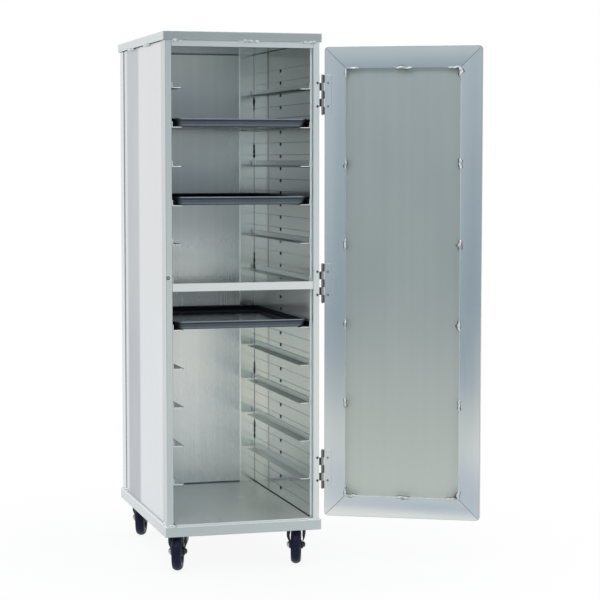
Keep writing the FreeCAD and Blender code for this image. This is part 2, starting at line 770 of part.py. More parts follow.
def rivets(name, face, inward, wall):
    """Flush rivets through a leaf and the sheet behind it, with a bulb on the blind side."""
    solids = []
    tail = f"{inward} (leaf_wall + {wall})"
    for i, z in enumerate(rivet_levels()):
        place = ("-rivet_reach", z)
        ends = sorted_span(face, f"{face} {inward} rivet_head_depth", inward)
        shank = sorted_span(face, f"{face} {tail}", inward)
        bulb = sorted_span(f"{face} {tail}", f"{face} {tail} {inward} rivet_tail", inward)
        solids.append(fuse(f"{name}_{i}",
                           rod(f"{name}_head_{i}", "rivet_head", "y", ends, place),
                           rod(f"{name}_shank_{i}", "rivet_radius", "y", shank, place),
                           rod(f"{name}_bulb_{i}", "rivet_head", "y", bulb, place)))
    return group(name, *solids)


def sorted_span(near, far, inward):
    """Low and high ends of a span that starts at the near end."""
    return (near, far) if inward == "+" else (far, near)


def hinges():
    """Fixed leaves, pins and rivets on the post; leaves and rivets on the door."""
    post_knuckles = range(1, KNUCKLES, 2)
    door_knuckles = range(0, KNUCKLES, 2)
    levels = list(enumerate(hinge_levels()))
    post_leaves = [hinge_leaf(f"post_leaf_{i}", z, post_knuckles, POST_LEAF, POST_SINK, "hinge_out")
                   for i, z in levels]
    door_leaves = [hinge_leaf(f"door_leaf_{i}", z, door_knuckles, DOOR_LEAF, DOOR_SINK, "door_edge")
                   for i, z in levels]
    half = "hinge_height / 2"
    pins = [rod(f"hinge_pin_{i}", "pin_radius", "z", (f"{z} - {half}", f"{z} + {half}"), (0, 0))
            for i, z in levels]
    fixed = {
        "hinge_post_leaves": group("hinge_post_leaves", *post_leaves),
        "hinge_pins": group("hinge_pins", *pins),
        "hinge_post_rivets": rivets("post_rivet", POST_LEAF[0], "+", "post_wall"),
    }
    for label, item in fixed.items():
        node(put(item, HINGE_X, HINGE_Y), label)
    swung(group("hinge_door_leaves", *door_leaves), "hinge_door_leaves")
    swung(rivets("door_rivet", DOOR_LEAF[1], "-", "door_wall"), "hinge_door_rivets")


def swung(item, label):
    """Sub-part of the door, swung open about the hinge line."""
    node(put(item, HINGE_X, HINGE_Y, 0, "door_open"), label)


def door_block(name, inset, low_y, high_y):
    """Upright block of the door's outline with round corners, drawn in by an inset."""
    across = (f"{DOOR_LEFT} + {inset}", f"{DOOR_RIGHT} - {inset}")
    upright = (f"{DOOR_BOTTOM} + {inset}", f"{DOOR_TOP} - {inset}")
    body = prism(name, "XZ_Plane", rectangle(across, upright), low_y, high_y)
    return rounded(body, f"door_corner - {inset}", edges_along(Y_AXIS))


def door_frame():
    """Four mitred channels, open towards the skin."""
    ring_block = door_block("door_ring", "0", SKIN_BACK, DOOR_FACE)
    inner = ("frame_width", "(frame_width - door_wall)")
    windows = [box(f"door_window_{i}", (f"{DOOR_LEFT} + {w}", f"{DOOR_RIGHT} - {w}"),
                   (f"{SKIN_BACK} - door_wall", f"{DOOR_FACE} + door_wall"),
                   (f"{DOOR_BOTTOM} + {w}", f"{DOOR_TOP} - {w}")) for i, w in enumerate(inner)]
    hollow = cut("door_hollow", door_block("door_inside", "door_wall", f"{SKIN_BACK} - door_wall",
                                           f"{DOOR_FACE} - door_wall"), windows[1])
    channel = cut("door_channel", ring_block, windows[0], hollow)
    drilled = cut("door_channel_bored", channel, *[
        rod(f"stile_rivet_hole_{i}", "rivet_radius + rivet_clear", "y",
            (f"{DOOR_FACE} - 2 * door_wall", f"{DOOR_FACE} + door_wall"), ("-rivet_reach", z))
        for i, z in enumerate(rivet_levels())])
    low, high, left, right = DOOR_BOTTOM, DOOR_TOP, DOOR_LEFT, DOOR_RIGHT
    near = "frame_width"
    members = {
        "door_hinge_stile": [(right, low), (right, high), (f"{right} - {near}", f"{high} - {near}"),
                             (f"{right} - {near}", f"{low} + {near}")],
        "door_latch_stile": [(left, high), (left, low), (f"{left} + {near}", f"{low} + {near}"),
                             (f"{left} + {near}", f"{high} - {near}")],
        "door_top_rail": [(right, high), (left, high), (f"{left} + {near}", f"{high} - {near}"),
                          (f"{right} - {near}", f"{high} - {near}")],
        "door_bottom_rail": [(left, low), (right, low), (f"{right} - {near}", f"{low} + {near}"),
                             (f"{left} + {near}", f"{low} + {near}")],
    }
    through = (f"{SKIN_BACK} - door_wall", f"{DOOR_FACE} + door_wall")
    for label, corners in members.items():
        wedge = prism(f"{label}_wedge", "XZ_Plane", corners, *through)
        swung(common(label, drilled, wedge), label)


def door_skin():
    """Outer sheet of the door."""
    swung(group("door_skin", door_block("door_sheet", "0", DOOR_OUTER, SKIN_BACK)), "door_skin")


def door_pull():
    """Bowed pull of round bar, welded to the outside of the door near its free edge."""
    x = f"({DOOR_LEFT} + pull_inset)"
    grip = f"({DOOR_OUTER} - pull_reach)"
    low = f"({DOOR_MIDDLE} - pull_length / 2)"
    high = f"({DOOR_MIDDLE} + pull_length / 2)"
    leg = (f"{grip} + pull_bend", DOOR_OUTER)
    solids = [
        rod("pull_leg_low", "pull_radius", "y", leg, (x, low)),
        rod("pull_leg_high", "pull_radius", "y", leg, (x, high)),
        rod("pull_grip", "pull_radius", "z", (f"{low} + pull_bend", f"{high} - pull_bend"), (x, grip)),
    ]
    for name, z, quarters in (("low", f"{low} + pull_bend", -1), ("high", f"{high} - pull_bend", 2)):
        centre = (x, f"{grip} + pull_bend", z)
        bend = ring(f"pull_bend_{name}", "pull_bend", "pull_radius", "x", centre, QUARTER_TURN)
        bend.Placement.Rotation = FreeCAD.Rotation(X_AXIS, quarters * QUARTER_TURN).multiply(LAY["x"])
        solids.append(bend)
    swung(fuse("door_pull", *solids), "door_pull")


def catch():
    """Round catch on the latch post: a ring with a pole piece in it."""
    x = f"catch_inset - {BODY_X}"
    z = f"{BASE_TOP} + catch_level"
    span = (f"-{BODY_Y} - catch_height", f"-{BODY_Y}")
    button = rod("catch_disc", "catch_radius", "y", span, (x, z))
    eye = rod("catch_eye", "pole_radius + pole_clear", "y",
              (f"-{BODY_Y} - 2 * catch_height", f"catch_height - {BODY_Y}"), (x, z))
    node(cut("catch_button", button, eye), "catch_button")
    node(rod("catch_pole", "pole_radius", "y", span, (x, z)), "catch_pole")


def build():
    """Makes every sub-part."""
    fill_sheet()
    base_frame()
    caster_plates()
    caster_bolts()
    casters()
    front_posts()
    rear_posts()
    panels()
    top_cap()
    front_rails()
    wall_linings()
    for index in range(UPPER_SLIDES + LOWER_SLIDES):
        slide_pair(index)
    for number, level in enumerate(PAN_LEVELS, 1):
        sheet_pan(number, level)
    hinges()
    door_frame()
    door_skin()
    door_pull()
    catch()
    doc.recompute()


def write():
    """Stops on any failed object, then writes one file for each sub-part."""
    failed = [o.Label for o in doc.Objects if {"Invalid", "Error"} & set(o.State)]
    failed += [n.Label for n in nodes if n.Shape.isNull() or not n.Shape.isValid()]
    if failed:
        raise RuntimeError(f"these objects failed: {failed}")
    os.makedirs("parts", exist_ok=True)
    for item in nodes:
        item.Shape.exportStep(f"parts/{item.Label}.step")


build()
write()
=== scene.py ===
"""Looks of an enclosed sheet pan rack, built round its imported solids.

Metres, +Z up, front towards -Y, origin on the ground under the middle of the cabinet. Each new piece is a
surface worked out with numpy and set where the solids are; each solid that stays gets a finish of its own.
"""
import json
import math

import bpy
import numpy as np
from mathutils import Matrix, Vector

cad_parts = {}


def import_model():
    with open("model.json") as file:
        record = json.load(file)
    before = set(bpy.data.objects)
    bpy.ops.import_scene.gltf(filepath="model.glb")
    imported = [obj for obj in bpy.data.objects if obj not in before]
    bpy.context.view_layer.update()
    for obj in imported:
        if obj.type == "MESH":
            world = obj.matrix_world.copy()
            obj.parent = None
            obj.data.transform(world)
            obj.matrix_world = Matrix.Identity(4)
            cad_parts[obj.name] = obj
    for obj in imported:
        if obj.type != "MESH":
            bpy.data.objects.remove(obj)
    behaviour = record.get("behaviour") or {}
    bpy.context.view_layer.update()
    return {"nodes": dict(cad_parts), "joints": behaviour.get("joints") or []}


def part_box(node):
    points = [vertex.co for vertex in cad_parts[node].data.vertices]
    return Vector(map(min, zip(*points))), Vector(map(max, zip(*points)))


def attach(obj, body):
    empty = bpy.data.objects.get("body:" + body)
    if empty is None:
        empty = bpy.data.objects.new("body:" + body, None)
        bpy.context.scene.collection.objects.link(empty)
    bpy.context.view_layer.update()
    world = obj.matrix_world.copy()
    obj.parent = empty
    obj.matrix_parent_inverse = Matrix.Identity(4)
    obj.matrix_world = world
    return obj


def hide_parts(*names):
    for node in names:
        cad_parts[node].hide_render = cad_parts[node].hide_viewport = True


bl_info = {
    "name": "Enclosed sheet pan rack",
    "version": (1, 0, 0),
    "blender": (4, 5, 0),
    "location": "3D View > Sidebar > Rack",
    "description": "Dresses the solids of an enclosed sheet pan rack and lights them",
    "category": "Object",
}

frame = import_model()
NODES = frame["nodes"]
JOINTS = {joint["name"]: joint for joint in frame["joints"]}

TURN = 2 * math.pi
PLACES = ("front_left", "front_right", "rear_left", "rear_right")
SLIDES = sorted(name for name in NODES if name.startswith("slide_pair"))
PANS = sorted(name for name in NODES if name.startswith("sheet_pan"))
HINGE_LINE = np.array(JOINTS["door_hinge"]["pos_m"])
DOOR_OPEN = math.radians(-JOINTS["door_hinge"]["range_deg"][0])
BASE_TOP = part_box("base_frame")[1].z
LID_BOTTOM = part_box("top_cap")[0].z
POST_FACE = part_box("post_front_left")[0].y


# Sizes, colours and studio settings that a user would change
def number(name, default, description, **kind):
    """Number property of a unit or a subtype."""
    return bpy.props.FloatProperty(name=name, description=description, default=default, **kind)


def length(name, default, description):
    """Length property in metres."""
    return number(name, default, description, unit="LENGTH", precision=4)


def colour(name, default, description):
    """Colour property."""
    return bpy.props.FloatVectorProperty(name=name, description=description, default=default, subtype="COLOR",
                                         min=0, max=1)


class RackSizes(bpy.types.PropertyGroup):
    """Sizes of the pieces that the solids leave plain."""
    sheet_edge: length("Sheet edge", 0.0009, "Radius that softens every cut or folded edge of sheet")
    fold: length("Fold", 0.0055, "Radius of the folds along the lid and the base")
    door_width: length("Door width", 0.519, "Width of the door")
    door_height: length("Door height", 1.555, "Height of the door")
    door_bottom: length("Door bottom", 0.168, "Height of the door's bottom edge")
    door_edge: length("Door edge", 0.006, "From the hinge line to the door's hinge edge")
    door_depth: length("Door depth", 0.025, "Thickness of the door")
    door_face: length("Door face", 0.0018, "From the hinge line to the door's inner face")
    frame_width: length("Frame width", 0.070, "Width of the door's frame")
    bead_width: length("Bead width", 0.0100, "Width of a weld bead")
    bead_height: length("Bead height", 0.0040, "Height of a weld bead")
    tack: length("Tack", 0.036, "Length of a tack weld on the door's stiles")
    slide_wall: length("Slide wall", 0.0025, "Thickness of the angle slides")
    slide_nose: length("Slide nose", 0.012, "Radius at the front of a slide's ledge")
    pan_wall: length("Pan wall", 0.0012, "Thickness of a pan")
    pan_rim: length("Pan rim", 0.006, "Width of a pan's rolled rim")
    pan_draft: length("Pan draft", 0.009, "How far a pan's wall leans out")
    pan_corner: length("Pan corner", 0.030, "Radius of a pan's corner at its rim")
    wheel_radius: length("Wheel radius", 0.0635, "Radius of a caster wheel")
    tyre_width: length("Tyre width", 0.032, "Width of a caster tyre")
    leaf_wall: length("Leaf wall", 0.0015, "Thickness of a hinge leaf")
    leaf_width: length("Leaf width", 0.030, "From the hinge line to a leaf's far edge")
    knuckle: length("Knuckle", 0.005, "Radius of a hinge knuckle")
    hinge_height: length("Hinge height", 0.130, "Height of one hinge")
    hinge_spacing: length("Hinge spacing", 0.621, "From one hinge to the next")
    pull_radius: length("Pull radius", 0.005, "Radius of the door pull's bar")


class RackColours(bpy.types.PropertyGroup):
    """Colours of the finishes."""
    post: colour("Posts", (0.74, 0.77, 0.77), "Aluminium of the front posts")
    rear_post: colour("Rear posts", (0.96, 0.95, 0.86), "Aluminium of the rear posts")
    panel: colour("Side panels", (0.75, 0.765, 0.78), "Aluminium of the outer side panels")
    rail: colour("Header rail", (0.80, 0.83, 0.84), "Aluminium of the rail under the lid")
    mid_rail: colour("Mid rail", (0.98, 0.985, 0.99), "Aluminium of the rail at mid height")
    base: colour("Lid and base", (0.64, 0.69, 0.70), "Aluminium of the lid and the base")
    lining: colour("Wall linings", (0.94, 0.945, 0.855), "Aluminium of the inside walls")
    back: colour("Back", (0.945, 0.955, 0.915), "Aluminium of the back")
    ceiling: colour("Ceiling", (0.84, 0.94, 1.0), "Aluminium of the ceiling")
    deck: colour("Deck", (0.78, 0.79, 0.75), "Aluminium of the deck")
    slide: colour("Slides", (0.82, 0.86, 0.83), "Aluminium of the slides")
    door_frame: colour("Door frame", (0.96, 0.97, 0.965), "Aluminium of the door's frame")
    door_skin: colour("Door skin", (0.56, 0.59, 0.575), "Aluminium of the door's sheet")
    weld: colour("Weld", (0.92, 0.94, 0.94), "Bright weld metal on the cabinet")
    tack: colour("Tack weld", (0.84, 0.87, 0.87), "Weld metal on the door")
    # The dark weld colour of the back corner beads and of the edges round the tacks is painted shade.
    shaded_weld: colour("Dull weld", (0.17, 0.18, 0.18), "Dull weld metal in the back corners and round the tacks")
    pan: colour("Pan", (0.085, 0.105, 0.128), "Dark coating of the pans")
    hinge: colour("Hinge", (0.46, 0.45, 0.45), "Steel of the hinges")
    rivet: colour("Rivet", (0.25, 0.26, 0.27), "Rivet heads")
    zinc: colour("Zinc", (0.66, 0.68, 0.70), "Zinc plate of axles, plates and bolts")
    fork: colour("Fork", (0.012, 0.012, 0.018), "Black paint of the forks")
    core: colour("Wheel core", (0.010, 0.010, 0.016), "Black plastic of the wheel cores")
    tyre: colour("Tyre", (0.006, 0.007, 0.034), "Black rubber of the tyres")
    catch: colour("Catch", (0.05, 0.05, 0.06), "Dark ring of the catch")


class RackStudio(bpy.types.PropertyGroup):
    """Camera and light."""
    camera: bpy.props.FloatVectorProperty(name="Camera", description="Where the camera stands", subtype="TRANSLATION",
                                          default=(-1.5280, -6.4051, 1.3564))
    yaw: number("Yaw", math.radians(15.96), "How far the camera looks to the right", subtype="ANGLE")
    pitch: number("Pitch", math.radians(4.253), "How far the camera looks down", subtype="ANGLE")
    lens: number("Lens", 113.91, "Focal length", unit="CAMERA")
    key: number("Key", 70, "Power of the lamp at the left front", unit="POWER")
    fill: number("Fill", 35, "Power of the lamp at the right front", unit="POWER")
    top: number("Top", 40, "Power of the lamp above", unit="POWER")
    front: colour("Front", (0.44, 0.51, 0.55), "Room before the rack")
    beside: colour("Beside", (0.26, 0.33, 0.385), "Room where the open door faces")
    right: colour("Right", (0.60, 0.63, 0.65), "Room at the right of the rack")
    behind: colour("Behind", (0.92, 0.925, 0.93), "Room behind the rack")


# Surfaces
class Shells:
    """Closed shells gathered into one mesh."""

    def __init__(self):
        self.points = []
        self.faces = []
        self.count = 0

    def add(self, grid, looped=False):
        """Rows of closed rings. The last row joins the first when looped, and otherwise each end gets one face.

        The faces are turned outwards by the sign of the volume that they enclose.
        """
        rows, columns = grid.shape[:2]
        i = np.arange(rows if looped else rows - 1)[:, None]
        j = np.arange(columns)[None, :]
        after = (i + 1) % rows
        beside = (j + 1) % columns
        corners = (i * columns + j, i * columns + beside, after * columns + beside, after * columns + j)
        quads = np.stack(np.broadcast_arrays(*corners), -1).reshape(-1, 4)
        points = grid.reshape(-1, 3)
        a, b, c, d = (points[quads[:, k]] - points.mean(0) for k in range(4))
        volume = np.einsum("ij,ij->", a, np.cross(b, c)) + np.einsum("ij,ij->", a, np.cross(c, d))
        faces = quads.tolist()
        if not looped:
            faces.append(list(range(columns))[::-1])
            faces.append(list(range((rows - 1) * columns, rows * columns)))
        if volume < 0:
            faces = [face[::-1] for face in faces]
        self.faces += [[k + self.count for k in face] for face in faces]
        self.points.append(points)
        self.count += len(points)
        return self

    def ring(self, profile, centre, axis, steps):
        """Closed profile turned into a ring."""
        return self.add(turned(profile, centre, axis, steps).swapaxes(0, 1), True)

    def piece(self, name, finish, body, slot, replaced=(), crease=40):
        """One smooth mesh of all the shells, which rides on a body."""
        mesh = bpy.data.meshes.new(name)
        mesh.from_pydata(np.concatenate(self.points).tolist(), [], self.faces)
        mesh.shade_smooth()
        mesh.set_sharp_from_angle(angle=math.radians(crease))
        mesh.materials.append(finish)
        made = bpy.data.objects.new(name, mesh)
        bpy.context.scene.collection.objects.link(made)
        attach(made, body)
        if replaced:
            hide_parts(*replaced)


def rounded_rings(half_x, half_y, radius, steps=8):
    """Rounded rectangles, one for each row: straight sides and a quarter circle of the radius at each corner."""
    half_x, half_y, radius = (np.reshape(a, (-1, 1)) for a in np.broadcast_arrays(half_x, half_y, radius))
    quarter = np.arange(4)[:, None] * TURN / 4 + np.linspace(0, TURN / 4, steps)[None, :]
    turn = quarter.reshape(1, -1)
    side_x = np.repeat([1, -1, -1, 1], steps)[None, :]
    side_y = np.repeat([1, 1, -1, -1], steps)[None, :]
    return (side_x * (half_x - radius) + radius * np.cos(turn),
            side_y * (half_y - radius) + radius * np.sin(turn))


def soft_slab(low, high, corner):
    """Plate between two corners: rounded rectangles stacked along Y, drawn in by a quarter circle at both faces."""
    edge = 0.0003
    low, high = np.array(low), np.array(high)
    middle, half = (low + high) / 2, (high - low) / 2
    bend = np.linspace(0, TURN / 4, 5)
    inset = np.append(2 * edge, edge * (1 - np.sin(bend)))
    level = np.append(0, edge * (1 - np.cos(bend))) - half[1]
    inset = np.concatenate([inset, inset[::-1]])
    level = np.concatenate([level, -level[::-1]])
    x, z = rounded_rings(half[0] - inset, half[2] - inset, corner - inset)
    return np.stack([x, np.broadcast_to(level[:, None], x.shape), z], -1) + middle


def unit(vectors):
    """Vectors scaled to length 1."""
    return vectors / np.linalg.norm(vectors, axis=-1, keepdims=True)


def spokes(axis, steps):
    """Unit axis, angles about it, and at each angle a unit vector that stands square to it."""
    axis = unit(np.array(axis, float))
    first = unit(np.cross(axis, np.eye(3)[np.argmin(np.abs(axis))]))
    t = np.arange(steps) * TURN / steps
    return axis, t, np.cos(t)[:, None] * first + np.sin(t)[:, None] * np.cross(axis, first)


def turned(profile, centre, axis, steps=48):
    """Profile of (along, radius) pairs turned about an axis: centre + along * axis + radius * (cos t, sin t)."""
    axis, _, rim = spokes(axis, steps)
    along, radius = np.array(profile, float).T
    return np.array(centre) + along[:, None, None] * axis + radius[:, None, None] * rim[None]


def bolt_end(centre, axis, flat, depth, steps=48):
    """Hexagon head: rings with the radius flat / cos(t from the nearest flat), cut by a cone at the outer end."""
    axis, t, rim = spokes(axis, steps)
    sixth = TURN / 6
    hexagon = flat / np.cos((t + sixth / 2) % sixth - sixth / 2)
    along = np.array([0, 0.75, 0.92, 1.0]) * depth
    cone = flat * np.array([1.2, 1.2, 1.05, 0.93])
    radius = np.minimum(hexagon[None, :], cone[:, None])
    return np.array(centre) + along[:, None, None] * axis + radius[..., None] * rim[None]


def eased(corners, reach, steps=7):
    """Path through corners, each inner one replaced by a quadratic curve from one reach before it to one after."""
    corners = np.array(corners, float)
    before = unit(corners[:-2] - corners[1:-1])
    after = unit(corners[2:] - corners[1:-1])
    s = np.linspace(0, 1, steps)[None, :, None]
    middle = corners[1:-1, None]
    start = middle + reach * before[:, None]
    end = middle + reach * after[:, None]
    curves = (1 - s) ** 2 * start + 2 * s * (1 - s) * middle + s ** 2 * end
    return np.concatenate([corners[:1], curves.reshape(-1, corners.shape[1]), corners[-1:]])


def square_outline(corners, radii, steps=4):
    """Closed outlines of right angles, one for each row.

    A corner is a quarter circle: centre - r (next cos t + last sin t).
    """
    columns = [np.stack(np.broadcast_arrays(*corner), -1) for corner in corners]
    corners = np.stack(np.broadcast_arrays(*columns), -2).astype(float)
    radii = np.stack(np.broadcast_arrays(*radii, corners[:, 0, 0]), -1)[:, :-1, None]
    last = unit(np.roll(corners, 1, 1) - corners)
    following = unit(np.roll(corners, -1, 1) - corners)
    centre = corners + radii * (last + following)
    t = np.linspace(0, TURN / 4, steps)[:, None]
    arc = following[:, :, None] * np.cos(t) + last[:, :, None] * np.sin(t)
    return (centre[:, :, None] - radii[:, :, None] * arc).reshape(len(corners), -1, 2)


def round_bar(path, radius, side, steps):
    """Round bar along a path in a plane whose normal is side: path + radius * (cos t * side + sin t * across)."""
    across = np.cross(unit(np.gradient(path, axis=0)), side)
    t = (np.arange(steps) * TURN / steps)[None, :, None]
    return path[:, None] + radius * (np.cos(t) * np.array(side) + np.sin(t) * across[:, None])


def weld_bead(start, end, width, height, out, seed):
    """Weld bead: ellipses across a seam, sized by (1 - (2t - 1)^4)^0.5 and by ripples that fade into each other."""
    rng = np.random.default_rng(seed)
    start, end, out = (np.array(a, float) for a in (start, end, out))
    run = end - start
    size = np.linalg.norm(run)
    across = np.cross(run / size, out)
    row, knot, wave = 0.0009, 0.006, 0.0042
    t = np.linspace(0.004, 0.996, max(24, int(size / row)))
    knots = max(4, int(size / knot))
    places = np.linspace(0, 1, knots)
    swell = np.interp(t, places, rng.uniform(0.60, 1.25, knots))
    sway = np.interp(t, places, rng.uniform(-0.22, 0.22, knots)) * width
    ripple = 1 + 0.10 * np.sin(TURN * t * size / wave + rng.uniform(0, TURN))
    body = np.sqrt(1 - (2 * t - 1) ** 4) * swell * ripple
    a = np.arange(14) * TURN / 14
    centre = start + t[:, None] * run + sway[:, None] * across
    ring = (np.cos(a)[:, None] * across * width / 2)[None] + (np.sin(a)[:, None] * out * height)[None]
    return centre[:, None] + body[:, None, None] * ring


def swung(grid):
    """Points of the closed door, laid out from the hinge line, turned to where the open door stands."""
    c, s = math.cos(DOOR_OPEN), math.sin(DOOR_OPEN)
    x, y, z = np.moveaxis(np.asarray(grid, float), -1, 0)
    return np.stack([HINGE_LINE[0] + c * x - s * y, HINGE_LINE[1] + s * x + c * y, z], -1)


# Shader maths
class Value:
    """A socket of a node tree. Arithmetic on it adds Math nodes."""

    def __init__(self, tree, socket):
        self.tree = tree
        self.socket = socket

    def math(self, operation, *others):
        inputs = dict(enumerate((self, *others)))
        return self.tree.value("ShaderNodeMath", {"operation": operation}, inputs)

    def __add__(self, other):
        return self.math("ADD", other)

    def __sub__(self, other):
        return self.math("SUBTRACT", other)

    def __rsub__(self, other):
        return self * -1 + other

    def __mul__(self, other):
        return self.math("MULTIPLY", other)

    def __truediv__(self, other):
        return self.math("DIVIDE", other)

    def __abs__(self):
        return self.math("ABSOLUTE")

    __radd__ = __add__
    __rmul__ = __mul__

    def least(self, other):
        return self.math("MINIMUM", other)

    def most(self, other):
        return self.math("MAXIMUM", other)

    def rise(self, low, high):
        """0 up to low, 1 from high on, and a smooth step between."""
        inputs = {"Value": self, "From Min": low, "From Max": high}
        return self.tree.value("ShaderNodeMapRange", {"interpolation_type": "SMOOTHSTEP"}, inputs)

    def between(self, low, high):
        """The 0 to 1 value carried to the range from low to high."""
        return self * (high - low) + low


class Tree:
    """Node tree of a material or a world."""

    def __init__(self, owner):
        owner.use_nodes = True
        self.owner = owner
        self.nodes = owner.node_tree.nodes
        self.links = owner.node_tree.links
        self.nodes.clear()

    def node(self, kind, settings=None, inputs=None):
        """New node of a type: its settings first, then values or links for its sockets."""
        made = self.nodes.new(kind)
        for name, value in (settings or {}).items():
            setattr(made, name, value)
        for key, value in (inputs or {}).items():
            if isinstance(value, Value):
                self.links.new(value.socket, made.inputs[key])
            else:
                made.inputs[key].default_value = value
        return made

    def value(self, kind, settings=None, inputs=None, output=0):
        """Output of a new node, ready for arithmetic."""
        return Value(self, self.node(kind, settings, inputs).outputs[output])

    def place(self, scale=(1, 1, 1), turn=(0, 0, 0)):
        """Object coordinates, stretched and turned."""
        coordinates = self.value("ShaderNodeTexCoord", output="Object")
        return self.value("ShaderNodeMapping", None, {"Vector": coordinates, "Scale": scale, "Rotation": turn})

    def axis(self, vector, name):
        """One coordinate of a vector."""
        return self.value("ShaderNodeSeparateXYZ", None, {"Vector": vector}, name)

    def along(self, axis):
        """Object coordinate along an axis."""
        return self.axis(self.place(), axis)

    def vector(self, operation, *operands):
        """Vector Math: a number where the operation gives one, and otherwise a vector."""
        output = "Value" if operation in ("DOT_PRODUCT", "LENGTH", "DISTANCE") else "Vector"
        return self.value("ShaderNodeVectorMath", {"operation": operation}, dict(enumerate(operands)), output)

    def noise(self, vector, scale=1.0, detail=2.0, roughness=0.5):
        """Smooth noise about 0.5."""
        inputs = {"Vector": vector, "Scale": scale, "Detail": detail, "Roughness": roughness}
        return self.value("ShaderNodeTexNoise", None, inputs)

    def blend(self, factor, first, second):
        """Mix of two colours."""
        return self.value("ShaderNodeMix", {"data_type": "RGBA"}, {0: factor, 6: first, 7: second}, 2)

    def relief(self, height, depth, edge):
        """Normal of a height field, over edges that are softened by a radius."""
        inputs = {"Height": height, "Distance": depth, "Strength": 1.0}
        if edge:
            inputs["Normal"] = self.value("ShaderNodeBevel", {"samples": 4}, {"Radius": edge})
        return self.value("ShaderNodeBump", None, inputs)

    def surface(self, **inputs):
        """Principled surface on the material's output."""
        named = {name.replace("_", " "): value for name, value in inputs.items()}
        shader = self.value("ShaderNodeBsdfPrincipled", None, named)
        self.node("ShaderNodeOutputMaterial", None, {"Surface": shader})
        return self.owner


def shade(rgb, factor=1.0):
    """Colour with alpha, made lighter or darker by a factor."""
    return (*(min(1.0, c * factor) for c in rgb), 1.0)


# Finishes
# Tint of painted shade and painted reflection on the side panels and the back.
SHADE_TINT = (0.10, 0.15, 0.20, 1)
# Bluish tint of painted shade and painted reflection on the rear posts.
BLUE_SHADE_TINT = (0.06, 0.13, 0.36, 1)
# Warm tint of painted light low on the door's sheet.
WARM_LIGHT_TINT = (0.66, 0.66, 0.34, 1)
# White of real oxide and of painted light.
WHITE_OXIDE_AND_LIGHT = (0.95, 0.96, 0.95, 1)
# Near black of painted shade and painted shadow on the pans.
PAN_SHADE = (0.004, 0.004, 0.010, 1)
# Pale colour of painted highlights on the pans' rims and feet.
PAN_HIGHLIGHT = (0.38, 0.43, 0.47, 1)
PAINT_DUST = (0.09, 0.09, 0.09, 1)
FLOOR_DUST = (0.050, 0.052, 0.062, 1)
PULL_STEEL = (0.62, 0.64, 0.66)
# The right front post is a lighter copy of the posts' colour: painted light.
RIGHT_POST_PAINTED_LIGHT = 1.15
PLATE_EDGE = 0.0004
MILLIMETRE = 0.001
GRAIN = {"x": (4, 900, 900), "y": (900, 4, 900), "z": (900, 900, 4), "level": (4, 4, 900)}

# Grain, roughness, depth of the clouds and strength of the streaks of each sheet
SHEETS = {
    "post_front_left": ("z", 0.34, 0.25, 0.6),
    "post_front_right": ("z", 0.34, 0.25, 0.6),
    "post_rear": ("z", 0.16, 0.3, 1.0),
    "side_panel": ("z", 0.24, 0.2, 0.25),
    "header_rail": ("x", 0.36, 0.25, 1.0),
    "mid_rail": ("x", 0.30, 0.2, 0.6),
    "base_folded": ("level", 0.34, 0.3, 1.0),
    "lid_folded": ("level", 0.34, 0.3, 1.0),
    "lining_wall": ("z", 0.17, 0.4, 1.0),
    "lining_back": ("z", 0.24, 0.5, 1.9),
    "lining_ceiling": ("y", 0.24, 0.3, 1.0),
    "lining_deck": ("y", 0.30, 0.3, 1.0),
    "slide_extrusion": ("y", 0.30, 0.3, 1.0),
    "leaf_on_post": ("z", 0.34, 0.25, 0.6),
    "leaf_on_door": ("z", 0.18, 0.3, 1.0),
    "door_hinge_stile": ("z", 0.18, 0.3, 1.0),
    "door_latch_stile": ("z", 0.18, 0.3, 1.0),
    "door_rail": ("level", 0.18, 0.3, 1.0),
    "door_sheet": ("z", 0.42, 0.25, 1.0),
}


def sheet_metal(name, rgb, edge, dark=None, bright=None, crown=None, painted_tint=None):
    """Rolled aluminium: fine streaks and broad bands along the grain, clouds of oxide, hair scratches, faint waves.

    Where given, dark, bright and crown are functions of the tree that return where dark joints or painted shade darken
    the sheet, where white oxide or painted light shows, and how many millimetres the sheet stands proud. The last
    argument is the colour that the darkened places blend to.
    """
    tree = Tree(bpy.data.materials.new(name))
    grain, dull, cloud, brush = SHEETS[name]
    fine = GRAIN[grain]
    streak = tree.noise(tree.place(fine), 1.0, 3.0, 0.6)
    bands = tree.noise(tree.place(tuple(s / 24 for s in fine)), 1.0, 2.0)
    clouds = tree.noise(tree.place((1, 1, 0.55)), 3.4, 5.0, 0.6)
    specks = tree.noise(tree.place(), 260.0, 2.0).rise(0.64, 0.72)
    hair = tree.noise(tree.place(tuple(s * 1.6 for s in fine), (0.05, 0.07, 0.04)), 1.0, 0.0).rise(0.72, 0.78)
    waves = tree.noise(tree.place((1.7, 1.7, 1.1)), 1.0, 1.0)
    brushed = (streak - 0.5) * 0.14 * brush + (bands - 0.5) * 0.34 * brush
    tone = brushed + (clouds - 0.5) * cloud - specks * 0.05 + 0.5
    base = tree.blend(tone, shade(rgb, 0.86), shade(rgb, 1.12))
    rough = (streak - 0.5) * 0.08 + (clouds - 0.5) * 0.16 + specks * 0.06 + dull
    height = streak * 0.0012 - hair * 0.0015 + waves * 1.2
    metal = 1.0
    # Dark masks blend in dark joints and painted shade; bright masks blend in white oxide and painted light.
    if dark:
        joints_and_shade = dark(tree)
        base = tree.blend(joints_and_shade, base, painted_tint or shade(rgb, 0.16))
        rough = rough + joints_and_shade * 0.2
    if bright:
        oxide = bright(tree)
        base = tree.blend(oxide, base, WHITE_OXIDE_AND_LIGHT)
        metal = 1 - oxide * 0.7
    if crown:
        height = height + crown(tree)
    normal = tree.relief(height, MILLIMETRE, edge)
    return tree.surface(Base_Color=base, Metallic=metal, Roughness=rough, Normal=normal)


